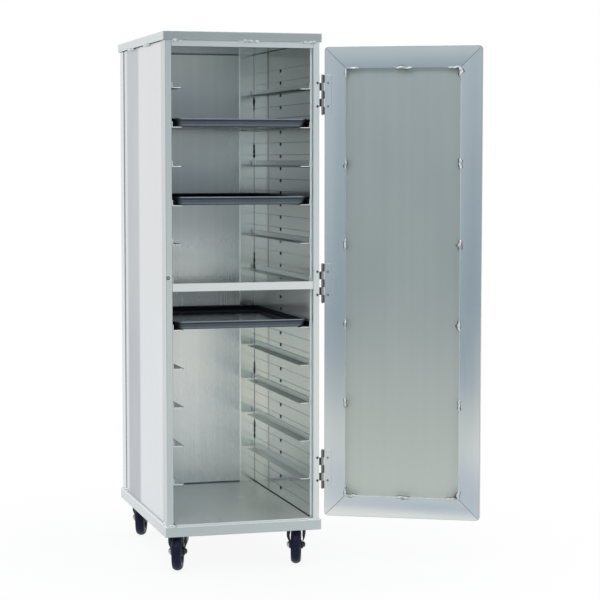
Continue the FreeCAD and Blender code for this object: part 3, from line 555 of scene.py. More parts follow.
def near(tree, axis, places, width, mirrored=False):
    """1 close to any of some places along an axis, 0 beyond a width from it; mirrored counts both signs."""
    along = tree.along(axis)
    along = abs(along) if mirrored else along
    total = None
    for place in places:
        line = 1 - abs(along - place).rise(width / 2, width)
        total = total.most(line) if total else line
    return total


def beyond(axis, low, high, share):
    """Mask that grows to a share from low to high, on both sides of the middle."""
    def mask(tree):
        return abs(tree.along(axis)).rise(low, high) * share
    return mask


def before(axis, low, high, share=1.0):
    """Mask of a share as far as low, which ends at high."""
    def mask(tree):
        return (1 - tree.along(axis).rise(low, high)) * share
    return mask


def groove_shade_lines(tree):
    """Painted shade in each groove of the wall linings: a dark hairline, by the distance from the nearest level of a
    bank of slides.
    """
    z = tree.along("Z")
    tops = [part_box(name)[0].z for name in SLIDES]
    pitch = (tops[0] - tops[1]) / 3
    lower = next(k for k in range(1, len(tops)) if tops[k - 1] - tops[k] > 3.1 * pitch)
    inside, outside, below_ledge = 2.2 * pitch, 2.3 * pitch, 0.0025
    lines = []
    for first, last in ((0, lower - 1), (lower, len(tops) - 1)):
        away = (z - (tops[first] - below_ledge)).math("PINGPONG", pitch / 2)
        within = z.rise(tops[last] - outside, tops[last] - inside)
        within = within * (1 - z.rise(tops[first] + inside, tops[first] + outside))
        lines.append((1 - away.rise(0.0008, 0.0020)) * within)
    between = (tops[lower - 1] + tops[lower]) / 2
    middle = z.rise(between - 0.001, between)
    return lines[0] * middle + lines[1] * (1 - middle)


def door_margins(tree, sizes):
    """Distances of a point on the open door from its nearest upright edge and its nearest level edge."""
    coordinates = tree.value("ShaderNodeTexCoord", output="Object")
    closed = tree.value("ShaderNodeMapping", {"vector_type": "TEXTURE"},
                        {"Vector": coordinates, "Location": tuple(HINGE_LINE), "Rotation": (0, 0, DOOR_OPEN)})
    across = tree.axis(closed, "X") + (sizes.door_edge + sizes.door_width)
    up = tree.axis(closed, "Z") + float(HINGE_LINE[2] - sizes.door_bottom)
    return across.least(sizes.door_width - across), up.least(sizes.door_height - up)


def mitres_and_edge_shade(sizes):
    """Hairline at each mitre, where both margins are the same, and a faint line of painted shade round the door's
    outer edge.
    """
    def lines(tree):
        upright, level = door_margins(tree, sizes)
        mitre = 1 - abs(upright - level).rise(0.0005, 0.0014)
        # Faint line of painted shade round the door's outer edge.
        outer = 1 - upright.least(level).rise(0.0006, 0.0024)
        return mitre.most(outer * 0.35)
    return lines


def door_upright(sizes, margin, share=1.0):
    """Mask of a share from the last millimetre before a margin on, as counted from the door's upright edges."""
    def line(tree):
        return door_margins(tree, sizes)[0].rise(margin - 0.0012, margin - 0.0004) * share
    return line


def door_crown(sizes, upright):
    """Faint crown of a frame member: -h (m - w/2)^2 / (w/2)^2, with m the margin and w the frame's width."""
    def crown(tree):
        margin = door_margins(tree, sizes)[0 if upright else 1]
        off = (margin - sizes.frame_width / 2) / (sizes.frame_width / 2)
        return off * off * -0.9
    return crown


def weld_metal(name, rgb):
    """Bright weld metal with fine ripples and a few dull specks."""
    tree = Tree(bpy.data.materials.new(name))
    grit = tree.noise(tree.place(), 420.0, 3.0)
    blotch = tree.noise(tree.place(), 90.0, 2.0)
    base = tree.blend(blotch.rise(0.30, 0.62), shade(rgb, 0.55), shade(rgb))
    normal = tree.relief(grit, 0.0005, 0)
    return tree.surface(Base_Color=base, Metallic=0.85, Roughness=blotch.between(0.22, 0.5), Normal=normal)


def pan_coating(name, rgb, boxes, corner):
    """Dark hard coating: oven patina in clouds, rubbed streaks and fine scratches that show lighter metal.

    A pale line on the rim and a fainter one at the foot are painted highlights, a dark line under the rim is painted
    shadow, the front corners and the inner walls are blackened with painted shade, and the floor is glossier than the
    rest.
    """
    tree = Tree(bpy.data.materials.new(name))
    patina = tree.noise(tree.place(), 9.0, 5.0, 0.6)
    rub = tree.noise(tree.place((160, 5, 160)), 1.0, 2.0)
    scratch = tree.noise(tree.place((520, 14, 300), (0.0, 0.0, 0.35)), 1.0, 0.0).rise(0.72, 0.78)
    tops, bottoms = [high.z for low, high in boxes], [low.z for low, high in boxes]
    # Painted highlight on the rim, painted shadow under it and a fainter painted highlight at the foot.
    rim = near(tree, "Z", tops, 0.0036)
    rim_shadow = near(tree, "Z", [top - 0.0072 for top in tops], 0.0030)
    foot = near(tree, "Z", [bottom + 0.0050 for bottom in bottoms], 0.0040)
    half, front, back = boxes[0][1].x, boxes[0][0].y, boxes[0][1].y
    x, y = abs(tree.along("X")), tree.along("Y")
    behind = y.rise(front + corner, front + corner * 2)
    # The front corners are blackened: painted shade.
    dark_shade = x.rise(half - corner, half - corner * 0.45) * (1 - behind)
    wall_start, wall_end = 0.026, 0.020
    # The inner walls are blackened: painted shade.
    inner = x.rise(half - wall_start, half - wall_end).most(y.rise(back - wall_start, back - wall_end)) * behind
    floor = near(tree, "Z", [bottom + 0.0012 for bottom in bottoms], 0.0040) * (1 - inner)
    tone = (patina - 0.5) * 0.7 + (rub - 0.5) * 0.5 + 0.5
    base = tree.blend(tone, shade(rgb, 0.72), shade(rgb, 1.35))
    base = tree.blend(scratch * 0.3, base, shade(rgb, 3.0))
    base = tree.blend((rim_shadow * 0.6).most(dark_shade * 0.92).most(inner * 0.92), base, PAN_SHADE)
    base = tree.blend((rim * 0.75).most(foot * 0.22) * (1 - dark_shade), base, PAN_HIGHLIGHT)
    rough = patina.between(0.36, 0.56) - scratch * 0.08 - floor * 0.22 + inner * 0.22
    normal = tree.relief(rub * 0.02 + patina * 0.2 - scratch * 0.01, MILLIMETRE, 0)
    return tree.surface(Base_Color=base, Metallic=0.15, Roughness=rough, Specular_IOR_Level=0.3, Normal=normal)


def plated_steel(name, rgb, dull=0.32, dark=None):
    """Plated steel: cloudy crystals of the plate and dulled specks; dark, where given, tells where grime lies."""
    tree = Tree(bpy.data.materials.new(name))
    crystals = tree.noise(tree.place(), 160.0, 3.0)
    clouds = tree.noise(tree.place(), 30.0, 4.0, 0.6)
    tone = (crystals - 0.5) * 0.5 + (clouds - 0.5) * 0.8 + 0.5
    base = tree.blend(tone, shade(rgb, 0.72), shade(rgb, 1.18))
    if dark:
        base = tree.blend(dark(tree), base, shade(rgb, 0.14))
    rough = dull + (clouds - 0.5) * 0.25
    normal = tree.relief(crystals * 0.04, MILLIMETRE, PLATE_EDGE)
    return tree.surface(Base_Color=base, Metallic=1.0, Roughness=rough, Normal=normal)


def black_paint(name, rgb):
    """Black paint with orange peel, and dust in clouds."""
    tree = Tree(bpy.data.materials.new(name))
    peel = tree.noise(tree.place(), 700.0, 2.0)
    dust = tree.noise(tree.place(), 40.0, 5.0, 0.65)
    base = tree.blend(dust.rise(0.45, 0.8) * 0.5, shade(rgb), PAINT_DUST)
    normal = tree.relief(peel * 0.03, MILLIMETRE, 0)
    return tree.surface(Base_Color=base, Metallic=0.0, Roughness=dust.between(0.26, 0.5), Normal=normal)


def moulded_rubber(name, rgb, dull, gloss=0.5):
    """Moulded rubber or plastic: fine grain, scuffs and floor dust in clouds."""
    tree = Tree(bpy.data.materials.new(name))
    grain = tree.noise(tree.place(), 900.0, 2.0)
    scuff = tree.noise(tree.place((60, 60, 60)), 1.0, 5.0, 0.7)
    base = tree.blend(scuff.rise(0.48, 0.85) * 0.35, shade(rgb), FLOOR_DUST)
    normal = tree.relief(grain * 0.05 + scuff * 0.05, MILLIMETRE, 0)
    return tree.surface(Base_Color=base, Metallic=0.0, Roughness=(scuff - 0.5) * 0.3 + dull, Specular_IOR_Level=gloss,
                        Normal=normal)


def dress(names, finish):
    """Puts a finish on every material slot of some solids."""
    for name in names:
        for slot in NODES[name].material_slots:
            slot.material = finish


# Places on the rack, in metres
UPPER_HALF = (0.95, 1.15)
# Depth of the painted highlight along the front edges of the slides and the wall linings.
EDGE_LIGHT_START, EDGE_LIGHT_END = 0.0012, 0.0022
# Front and back of the band of painted reflection on the side panels.
REFLECTION_FRONT, REFLECTION_BACK = (0.040, 0.085), (0.255, 0.292)
# Heights over which the painted light on the door's sheet fades out upward.
LOW_PAINTED_LIGHT = (0.25, 1.05)
# Depth of the upright line of painted reflection on the wall linings.
WALL_REFLECTION_LINE = 0.165
# Height and reach of a pale band of painted light between the lowest pan and the mid rail.
PALE_BAND_LEVEL, PALE_BAND_REACH = 0.872, 0.070
TACK_LEVELS = (0.548, 0.811, 1.075, 1.340)
LID_FRONT_STITCHES = ((-0.239, -0.203), (-0.019, 0.059), (0.194, 0.256))
LID_SIDE_STITCHES = ((-0.150, -0.060), (0.120, 0.205))
BASE_SIDE_STITCHES = ((-0.372, -0.334), (0.296, 0.350))
BASE_FRONT_STITCH = (0.224, 0.258)
BASE_BACK_STITCHES = ((-0.236, -0.180), (0.180, 0.236))
CORNER_STITCHES = ((1.531, 1.582), (1.359, 1.411), (0.951, 1.014), (0.560, 0.612), (0.322, 0.391))

# Profiles of turned pieces, as (along the axis, radius)
WASHER = ((0, 0.0112), (0.0011, 0.0112), (0.0013, 0.0108), (0.0013, 0.004))
STUD = ((0, 0.0050), (0.0078, 0.0050), (0.0086, 0.0043), (0.0087, 0.001))
RACE_LIP = ((0.1403, 0.0272), (0.1403, 0.0292), (0.1420, 0.0306), (0.1452, 0.0306), (0.1474, 0.0296), (0.1478, 0.0272))
CORE = ((0.0, 0.0052), (0.0195, 0.0052), (0.0195, 0.0125), (0.0175, 0.0160), (0.0050, 0.0180), (0.0040, 0.0290),
        (0.0060, 0.0385), (0.0135, 0.0400), (0.0150, 0.0415), (0.0150, 0.0470), (0.0, 0.0470))
PIN_HEAD = ((-0.004, 0.0024), (0, 0.0030), (0.0008, 0.0030), (0.0016, 0.0022), (0.0019, 0.0008))
CATCH_RING = ((0.0, 0.0032), (0.0, 0.0060), (0.0020, 0.0060), (0.0027, 0.0056), (0.0030, 0.0049), (0.0029, 0.0038),
              (0.0024, 0.0032))
CATCH_POLE = ((0.0, 0.0031), (0.0022, 0.0031), (0.0026, 0.0027), (0.0026, 0.0014), (0.0021, 0.0009), (0.0020, 0.0003))


# Operators
class RACK_OT_shell(bpy.types.Operator):
    """Finish of the cabinet's posts, panels, lid, base and rails"""
    bl_idname = "rack.shell"
    bl_label = "Cabinet shell"

    def execute(self, context):
        colours = context.scene.rack_colours
        edge, fold = context.scene.rack_sizes.sheet_edge, context.scene.rack_sizes.fold
        inner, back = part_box("wall_lining_right")[0].x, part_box("back_panel")[0].y
        flange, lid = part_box("post_rear_right")[0].x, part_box("top_cap")[0].y
        base_side, post_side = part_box("base_frame")[1].x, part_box("post_front_right")[1].x
        panel_reach = -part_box("post_front_left")[1].y
        flange_lean = beyond("X", flange, flange + 0.006, 1.6)
        # The lid's front face is painted darker: painted shade.
        lid_front_shade = before("Y", lid + 0.001, lid + 0.004, 0.28)
        # The side faces of the lid and the base are painted paler, white with less metal: painted light.
        painted_lit_sides = beyond("X", base_side - 0.004, base_side - 0.001, 0.25)
        # The front posts' outer side faces are painted a little darker: painted shade.
        post_side_shade = beyond("X", post_side - 0.0015, post_side - 0.0005, 0.12)

        # Painted shade and painted reflection on the rear posts: a dark line in the back corner where the lining meets
        # the flange is painted shadow, a bluish darker tone on the faces outside the lining and behind the back is
        # painted reflection, and the upper half is darker with painted shade.
        def rear_post_painted_shade(tree):
            x, y, z = map(tree.along, "XYZ")
            corner = near(tree, "X", [inner], 0.0026, True) * near(tree, "Y", [back], 0.006)
            outside = abs(x).rise(inner + 0.001, inner + 0.003).most(y.rise(back + 0.001, back + 0.003))
            return (corner * 0.36).most(outside * 0.20).most(z.rise(*UPPER_HALF) * 0.16)

        # A pale strip along the base's top fold is a painted highlight; the side faces are painted paler as well,
        # painted light.
        def base_fold_highlight(tree):
            return (near(tree, "Z", [BASE_TOP], 0.0046) * 0.8).most(painted_lit_sides(tree))

        # Painted shade and painted reflection on the side panels: dark lines where a panel passes behind a front post
        # and meets the base are painted shadow, and a mottled bluish darker band, stronger low down and on the left
        # panel, is painted reflection.
        def panel_shade_and_reflection(tree):
            seams = near(tree, "Y", [panel_reach - 0.0008], 0.0024, True).most(near(tree, "Z", [BASE_TOP], 0.004))
            y = tree.along("Y")
            mottle = tree.noise(tree.place((2, 4, 3)), 1.0, 2.0).rise(0.2, 0.8).between(0.84, 1.0)
            band = y.rise(*REFLECTION_FRONT) * (1 - y.rise(*REFLECTION_BACK)) * mottle
            deep = (1 - tree.along("Z").rise(0.5, 1.1)).between(0.36, 0.49)
            seen_side = 1 - tree.along("X").rise(-0.1, 0.1) * 0.8
            return (seams * 0.5).most(band * deep * seen_side)

        # Each front post takes the posts' colour times a factor; the right post's larger factor is painted light.
        for side, painted_light in (("left", 1.0), ("right", RIGHT_POST_PAINTED_LIGHT)):
            name, tint = f"post_front_{side}", shade(colours.post, painted_light)[:3]
            dress([name], sheet_metal(name, tint, edge, post_side_shade))
        dress(["post_rear_left", "post_rear_right"],
              sheet_metal("post_rear", colours.rear_post, edge, rear_post_painted_shade, crown=flange_lean, painted_tint=BLUE_SHADE_TINT))
        dress(["side_panel_left", "side_panel_right"],
              sheet_metal("side_panel", colours.panel, edge, panel_shade_and_reflection, painted_tint=SHADE_TINT))
        dress(["header_rail"], sheet_metal("header_rail", colours.rail, edge))
        dress(["mid_rail"], sheet_metal("mid_rail", colours.mid_rail, edge))
        dress(["base_frame"], sheet_metal("base_folded", colours.base, fold, bright=base_fold_highlight))
        dress(["top_cap"], sheet_metal("lid_folded", colours.base, fold / 2, lid_front_shade, painted_lit_sides))
        return {"FINISHED"}


class RACK_OT_lining(bpy.types.Operator):
    """Finish of the inside: slotted walls, back, ceiling and deck"""
    bl_idname = "rack.lining"
    bl_label = "Inside walls"

    def execute(self, context):
        colours = context.scene.rack_colours
        edge = context.scene.rack_sizes.sheet_edge / 2
        ceiling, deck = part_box("ceiling_panel")[0].z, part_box("floor_deck")[1].z
        front, back = (corner.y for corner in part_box("wall_lining_right"))
        back_face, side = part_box("back_panel")[0].y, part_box("floor_deck")[1].x
        # Pale strip along the front edges of the wall linings: a painted highlight.
        lip = before("Y", front + EDGE_LIGHT_START, front + EDGE_LIGHT_END)

        # Painted shade on the wall linings: in the grooves, along the joints with the back, the deck and the ceiling,
        # towards the top and in a band from about 0.93 m to 1.2 m; a dark upright line is a painted reflection of the
        # back corner.
        def wall_painted_shade(tree):
            seams = near(tree, "Y", [back], 0.005).most(near(tree, "Z", [deck, ceiling], 0.005))
            z = tree.along("Z")
            dulled = z.rise(1.40, 1.68) * 0.24 + z.rise(0.92, 0.95) * (1 - z.rise(1.00, 1.20)) * 0.17
            upright = near(tree, "Y", [WALL_REFLECTION_LINE], 0.014) * z.rise(0.90, 1.00).between(0.36, 0.44)
            return (groove_shade_lines(tree) * 0.44).most(seams * 0.8).most(dulled + upright)

        # A pale band between the lowest pan and the mid rail, white with less metal, is painted light.
        def pale_band_light(tree):
            return near(tree, "Z", [PALE_BAND_LEVEL], PALE_BAND_REACH) * 0.85

        # The walls' pale front edge and pale band are painted highlight and painted light.
        def wall_painted_light(tree):
            return lip(tree).most(pale_band_light(tree))

        def outside(tree):
            return tree.along("Y").rise(back_face + 0.0002, back_face + 0.0006)

        # The back's pale band is painted light.
        def back_painted_light(tree):
            return pale_band_light(tree) * (1 - outside(tree))

        # Painted shade on the back: dark lines along the joints with the deck and the ceiling, and the upper half and
        # the left part darker; the outer face and the edges behind the inner face are darker by a fixed share.
        def back_painted_shade(tree):
            x, off = tree.along("X"), outside(tree)
            above = tree.along("Z").rise(*UPPER_HALF) * x.rise(-0.05, 0.20).between(0.38, 0.28)
            inside = above.most(x.rise(-0.20, 0.08).between(0.20, 0.08))
            return (near(tree, "Z", [deck, ceiling], 0.006) * 0.85).most(inside * (1 - off) + off * 0.36)

        # Dark lines along the joints of the ceiling and the deck with the back and the walls: painted shade.
        def level_joint_shade(tree):
            return (near(tree, "Y", [back], 0.006) * 0.85).most(near(tree, "X", [side], 0.003, True) * 0.6)

        def deck_film(tree):
            return tree.noise(tree.place(), 6.0, 4.0).between(0.30, 0.65)

        dress(["wall_lining_right", "wall_lining_left"],
              sheet_metal("lining_wall", colours.lining, edge, wall_painted_shade, wall_painted_light))
        dress(["back_panel"], sheet_metal("lining_back", colours.back, edge, back_painted_shade, back_painted_light, painted_tint=SHADE_TINT))
        dress(["ceiling_panel"], sheet_metal("lining_ceiling", colours.ceiling, edge, level_joint_shade))
        dress(["floor_deck"], sheet_metal("lining_deck", colours.deck, edge, level_joint_shade, deck_film))
        return {"FINISHED"}


class RACK_OT_slides(bpy.types.Operator):
    """Angle slides with rounded edges and a round nose at the front of each ledge"""
    bl_idname = "rack.slides"
    bl_label = "Angle slides"

    def execute(self, context):
        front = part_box(SLIDES[0])[0].y
        # Pale strip along the front ends of the slides: a painted highlight.
        slide_edge_highlight = before("Y", front + EDGE_LIGHT_START, front + EDGE_LIGHT_END)
        finish = sheet_metal("slide_extrusion", context.scene.rack_colours.slide, 0, bright=slide_edge_highlight)
        for name in SLIDES:
            low, high = (np.array(corner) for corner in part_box(name))
            right = self.angle(context.scene.rack_sizes, low, high)
            shells = Shells().add(right * (-1, 1, 1)).add(right)
            shells.piece(f"{name}_angles", finish, "cabinet", "slide_aluminium", [name])
        return {"FINISHED"}

    def angle(self, sizes, low, high):
        """Section of a right angle carried front to back.

        Within the nose, at s from the front, the ledge is short by r - (r^2 - (r - s)^2)^0.5.
        """
        ledge_width, soft = 0.0375, 0.0006
        wall, sheet, r = high[0], sizes.slide_wall, sizes.slide_nose
        run = high[1] - low[1]
        s = np.concatenate([[0, soft], np.linspace(0.08, 1, 12) * r, [run - soft, run]])
        d = np.where((s < soft / 2) | (s > s[-1] - soft / 2), soft, 0)
        short = r - np.sqrt(np.maximum(0, r ** 2 - np.maximum(0, r - s) ** 2))
        tip, ledge = wall - ledge_width + short, low[2] + sheet
        radii = [radius * (1 - d / soft * 0.4) for radius in (0.0006, 0.0010, 0.0010, 0.0020, 0.0008, 0.0008)]
        outline = square_outline(
            [(wall - d, low[2] + d), (tip + d, low[2] + d), (tip + d, ledge - d),
             (wall - sheet + d, ledge - d), (wall - sheet + d, high[2] - d), (wall - d, high[2] - d)], radii)
        y = np.broadcast_to((low[1] + s)[:, None], outline.shape[:2])
        return np.stack([outline[..., 0], y, outline[..., 1]], -1)


class RACK_OT_pans(bpy.types.Operator):
    """Sheet pans with a rolled rim, drafted walls and a round bend round the floor"""
    bl_idname = "rack.pans"
    bl_label = "Sheet pans"

    def execute(self, context):
        sizes, colours = context.scene.rack_sizes, context.scene.rack_colours
        finish = pan_coating("pan_coating", colours.pan, [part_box(name) for name in PANS], sizes.pan_corner)
        for index, name in enumerate(PANS, 1):
            shells = Shells().add(self.pan(sizes, name))
            shells.piece(f"{name}_pressed", finish, f"pan_{index}", "pan_coating", [name], 60)
        return {"FINISHED"}

    def pan(self, sizes, name):
        """Half section carried round the rim: rounded rectangles drawn in by the section's inset at its height."""
        low, high = (np.array(corner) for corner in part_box(name))
        half, middle = (high - low) / 2, (low + high) / 2
        inset, level = self.section(sizes, high[2] - low[2]).T
        radius = np.maximum(sizes.pan_corner - inset, sizes.pan_corner - sizes.pan_rim)
        x, y = rounded_rings(half[0] - inset, half[1] - inset, radius, 12)
        return np.stack([x + middle[0], y + middle[1], np.repeat(level[:, None] + low[2], x.shape[1], 1)], -1)

    def section(self, sizes, height):
        """Inset and height from the underside out and over the rim to the floor.

        Each bend is a quadratic curve and the rim an ellipse of the rim's width.
        """
        rim, draft, wall = sizes.pan_rim, sizes.pan_draft, sizes.pan_wall
        bend, bead_half, lip = 0.008, 0.0026, 0.003
        foot, lean = rim + draft, draft / height
        s = np.linspace(0, 1, 7)[:, None]

        def corner(start, point, end):
            return (1 - s) ** 2 * np.array(start) + 2 * s * (1 - s) * np.array(point) + s ** 2 * np.array(end)

        under = corner((foot + bend, 0), (foot, 0), (foot - lean * bend, bend))
        a = np.radians(np.linspace(-70, 205, 18)) + TURN / 8
        bead = np.stack([rim / 2 - rim / 2 * np.sin(a), height - bead_half - bead_half * np.cos(a)], -1)
        inner = foot + wall * 1.05
        top = np.array([[inner - lean * (height - lip), height - lip]])
        floor = corner((inner - lean * bend, wall + bend), (inner, wall), (inner + bend, wall))
        return np.concatenate([under, bead, top, floor])


class RACK_OT_casters(bpy.types.Operator):
    """Pressed forks, axle bolts, wheel cores and crowned tyres of the four casters"""
    bl_idname = "rack.casters"
    bl_label = "Casters"

    def execute(self, context):
        sizes, colours = context.scene.rack_sizes, context.scene.rack_colours
        zinc = plated_steel("zinc_plate", colours.zinc)
        fork = black_paint("fork_paint", colours.fork)
        core = moulded_rubber("wheel_core", colours.core, 0.40)
        tyre = moulded_rubber("tyre_rubber", colours.tyre, 0.40, 0.20)
        dress(["caster_top_plates", "caster_bolts"], zinc)
        lips = Shells()
        for place in PLACES:
            swivel = np.array(JOINTS[f"swivel_{place}"]["pos_m"])
            hub = np.array(JOINTS[f"roll_{place}"]["pos_m"])
            axis = np.array(JOINTS[f"roll_{place}"]["axis"], float)
            side = axis * np.sign(axis[0])

            # The end of each axle on the +X side, washer, hexagon and stud, is darker.
            def dark_right_end(tree):
                return (tree.vector("DOT_PRODUCT", tree.place(), tuple(side)) - float(hub @ side)).rise(0.0, 0.010)

            axle = plated_steel(f"axle_plate_{place}", colours.zinc, dark=dark_right_end)
            shells = Shells().add(self.fork(swivel, hub, axis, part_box(f"caster_fork_{place}")[1].z))
            shells.piece(f"fork_pressed_{place}", fork, f"fork_{place}", "caster_fork_paint",
                         [f"caster_fork_{place}"], 50)
            shells = self.axle(hub, axis)
            shells.piece(f"axle_bolt_{place}", axle, f"fork_{place}", "caster_plate_steel", [f"caster_axle_{place}"])
            shells = Shells().ring(self.core_section(), hub, axis, 72)
            shells.piece(f"wheel_moulding_{place}", core, f"wheel_{place}", "wheel_core_plastic",
                         [f"wheel_core_{place}"])
            shells = Shells().ring(self.tyre_section(sizes), hub, axis, 96)
            shells.piece(f"tyre_moulding_{place}", tyre, f"wheel_{place}", "tyre_rubber", [f"tyre_{place}"])
            lips.ring(RACE_LIP, swivel * (1, 1, 0), (0, 0, 1), 64)
        lips.piece("swivel_race_lips", zinc, "cabinet", "caster_plate_steel")
        return {"FINISHED"}

    def axle(self, hub, axis):
        """Shank through the hub, and at each end a washer, a hexagon and the end of the stud."""
        half, shank, washer, flat, depth = 0.023, 0.005, 0.0013, 0.0083, 0.0052
        shells = Shells()
        for out in (-axis, axis):
            face = hub + out * half
            shells.add(turned(WASHER, face, out))
            shells.add(bolt_end(face + out * washer, out, flat, depth))
            shells.add(turned(STUD, face, out))
        return shells.add(turned([(-half, shank), (half, shank)], hub, axis))

    def fork(self, swivel, hub, axis, top):
        """Strip of sheet bent over the wheel: a channel with turned-in edges carried along an inverted U.

        The strip runs from crown width down to a half circle about the axle: with s the share of the way up, its edges
        go from the axle's to the crown's as 1 - (1 - s)^2.4, and below the axle the half width is (r^2 - d^2)^0.5. The
        turned-in edges grow from nothing at the axle to full height on the legs, and end before the crown's middle.
        """
        sheet, boss, waist, wide = 0.003, 0.014, 0.0215, 0.0295
        knee, hip, reach = 0.0105, 0.0270, 0.007
        crown_front, crown_back, crown_depth = -0.038, 0.030, 0.016
        lip, lip_start, lip_run, lip_fade = 0.0062, 0.0002, 0.018, 0.012
        axle, crown = hub[2], top - sheet / 2
        leg = [(waist, axle - boss + lip_start), (waist, axle + knee), (wide, axle + hip), (wide, crown), (0, crown)]
        right = eased(leg, reach)
        fine = np.linspace(0, 1, 9)
        foot = np.stack([np.full(9, waist), axle - boss * np.cos(fine * TURN / 4) * 0.999], -1)
        right = np.concatenate([foot[:-1], right[right[:, 1] > axle]])
        path = np.concatenate([right, (right * (-1, 1))[::-1][1:]])
        along = unit(np.gradient(path, axis=0))
        normal = np.stack([along[:, 1], -along[:, 0]], -1)
        trail = -np.linalg.norm((hub - swivel)[:2])
        bow = 1 - (1 - np.clip((path[:, 1] - axle) / (top - crown_depth - axle), 0, 1)) ** 2.4
        ahead = trail - boss + bow * (crown_front - trail + boss)
        behind = trail + boss + bow * (crown_back - trail - boss)
        drop = np.clip(axle - path[:, 1], 0, boss)
        half = np.where(path[:, 1] < axle, np.sqrt(np.maximum(boss ** 2 - drop ** 2, 1e-7)), (behind - ahead) / 2)
        up_leg = np.clip((path[:, 1] - axle - boss) / lip_run, 0, 1)
        grown = up_leg * np.clip((np.abs(path[:, 0]) - lip_fade) / lip_fade, 0, 1)
        turned_in = lip_start + lip * grown ** 2 * (3 - 2 * grown)
        s, edge = sheet / 2, np.minimum(sheet, 0.4 * half)
        tip, inner = -s - turned_in, half - edge
        outside, bend = np.minimum(0.0010, 0.4 * half), np.minimum(0.0009, 0.4 * np.minimum(turned_in, edge))
        corners = [(s, -half), (s, half), (tip, half), (tip, inner), (-s, inner), (-s, -inner), (tip, -inner),
                   (tip, -half)]
        section = square_outline(corners, [outside] * 2 + [bend] * 6)
        x, y = section[..., 0], section[..., 1]
        forward = np.array([-axis[1], axis[0], 0])
        middle = (ahead + behind) / 2
        grid = (path[:, :1] + normal[:, :1] * x)[..., None] * axis + (middle[:, None] + y)[..., None] * forward
        grid[..., 2] = path[:, 1:] + normal[:, 1:] * x
        grid[..., :2] += swivel[:2]
        return grid

    def core_section(self):
        """Closed outline of the core: rim, dished web and hub round the bore, the same on both sides."""
        right = eased(CORE, 0.0009, 3)
        left = (right * (-1, 1))[::-1]
        return np.concatenate([right[:-1], left[:-1]])

    def tyre_section(self, sizes):
        """Closed outline of the tyre: a crown on an arc of radius 20 mm, rounded shoulders and a flat seat."""
        half, arc, shoulder, bead, seat = sizes.tyre_width / 2, 0.020, 0.0552, 0.0490, 0.0471
        a = np.linspace(-0.96, 0.96, 25) * half
        crown = np.stack([a, sizes.wheel_radius - arc + np.sqrt(arc ** 2 - a ** 2)], -1)
        side = eased([crown[-1], (half, shoulder), (half * 0.985, bead), (half * 0.94, seat), (0, seat)], 0.0012, 4)
        return np.concatenate([crown, side[1:], (side[1:-1] * (-1, 1))[::-1]])


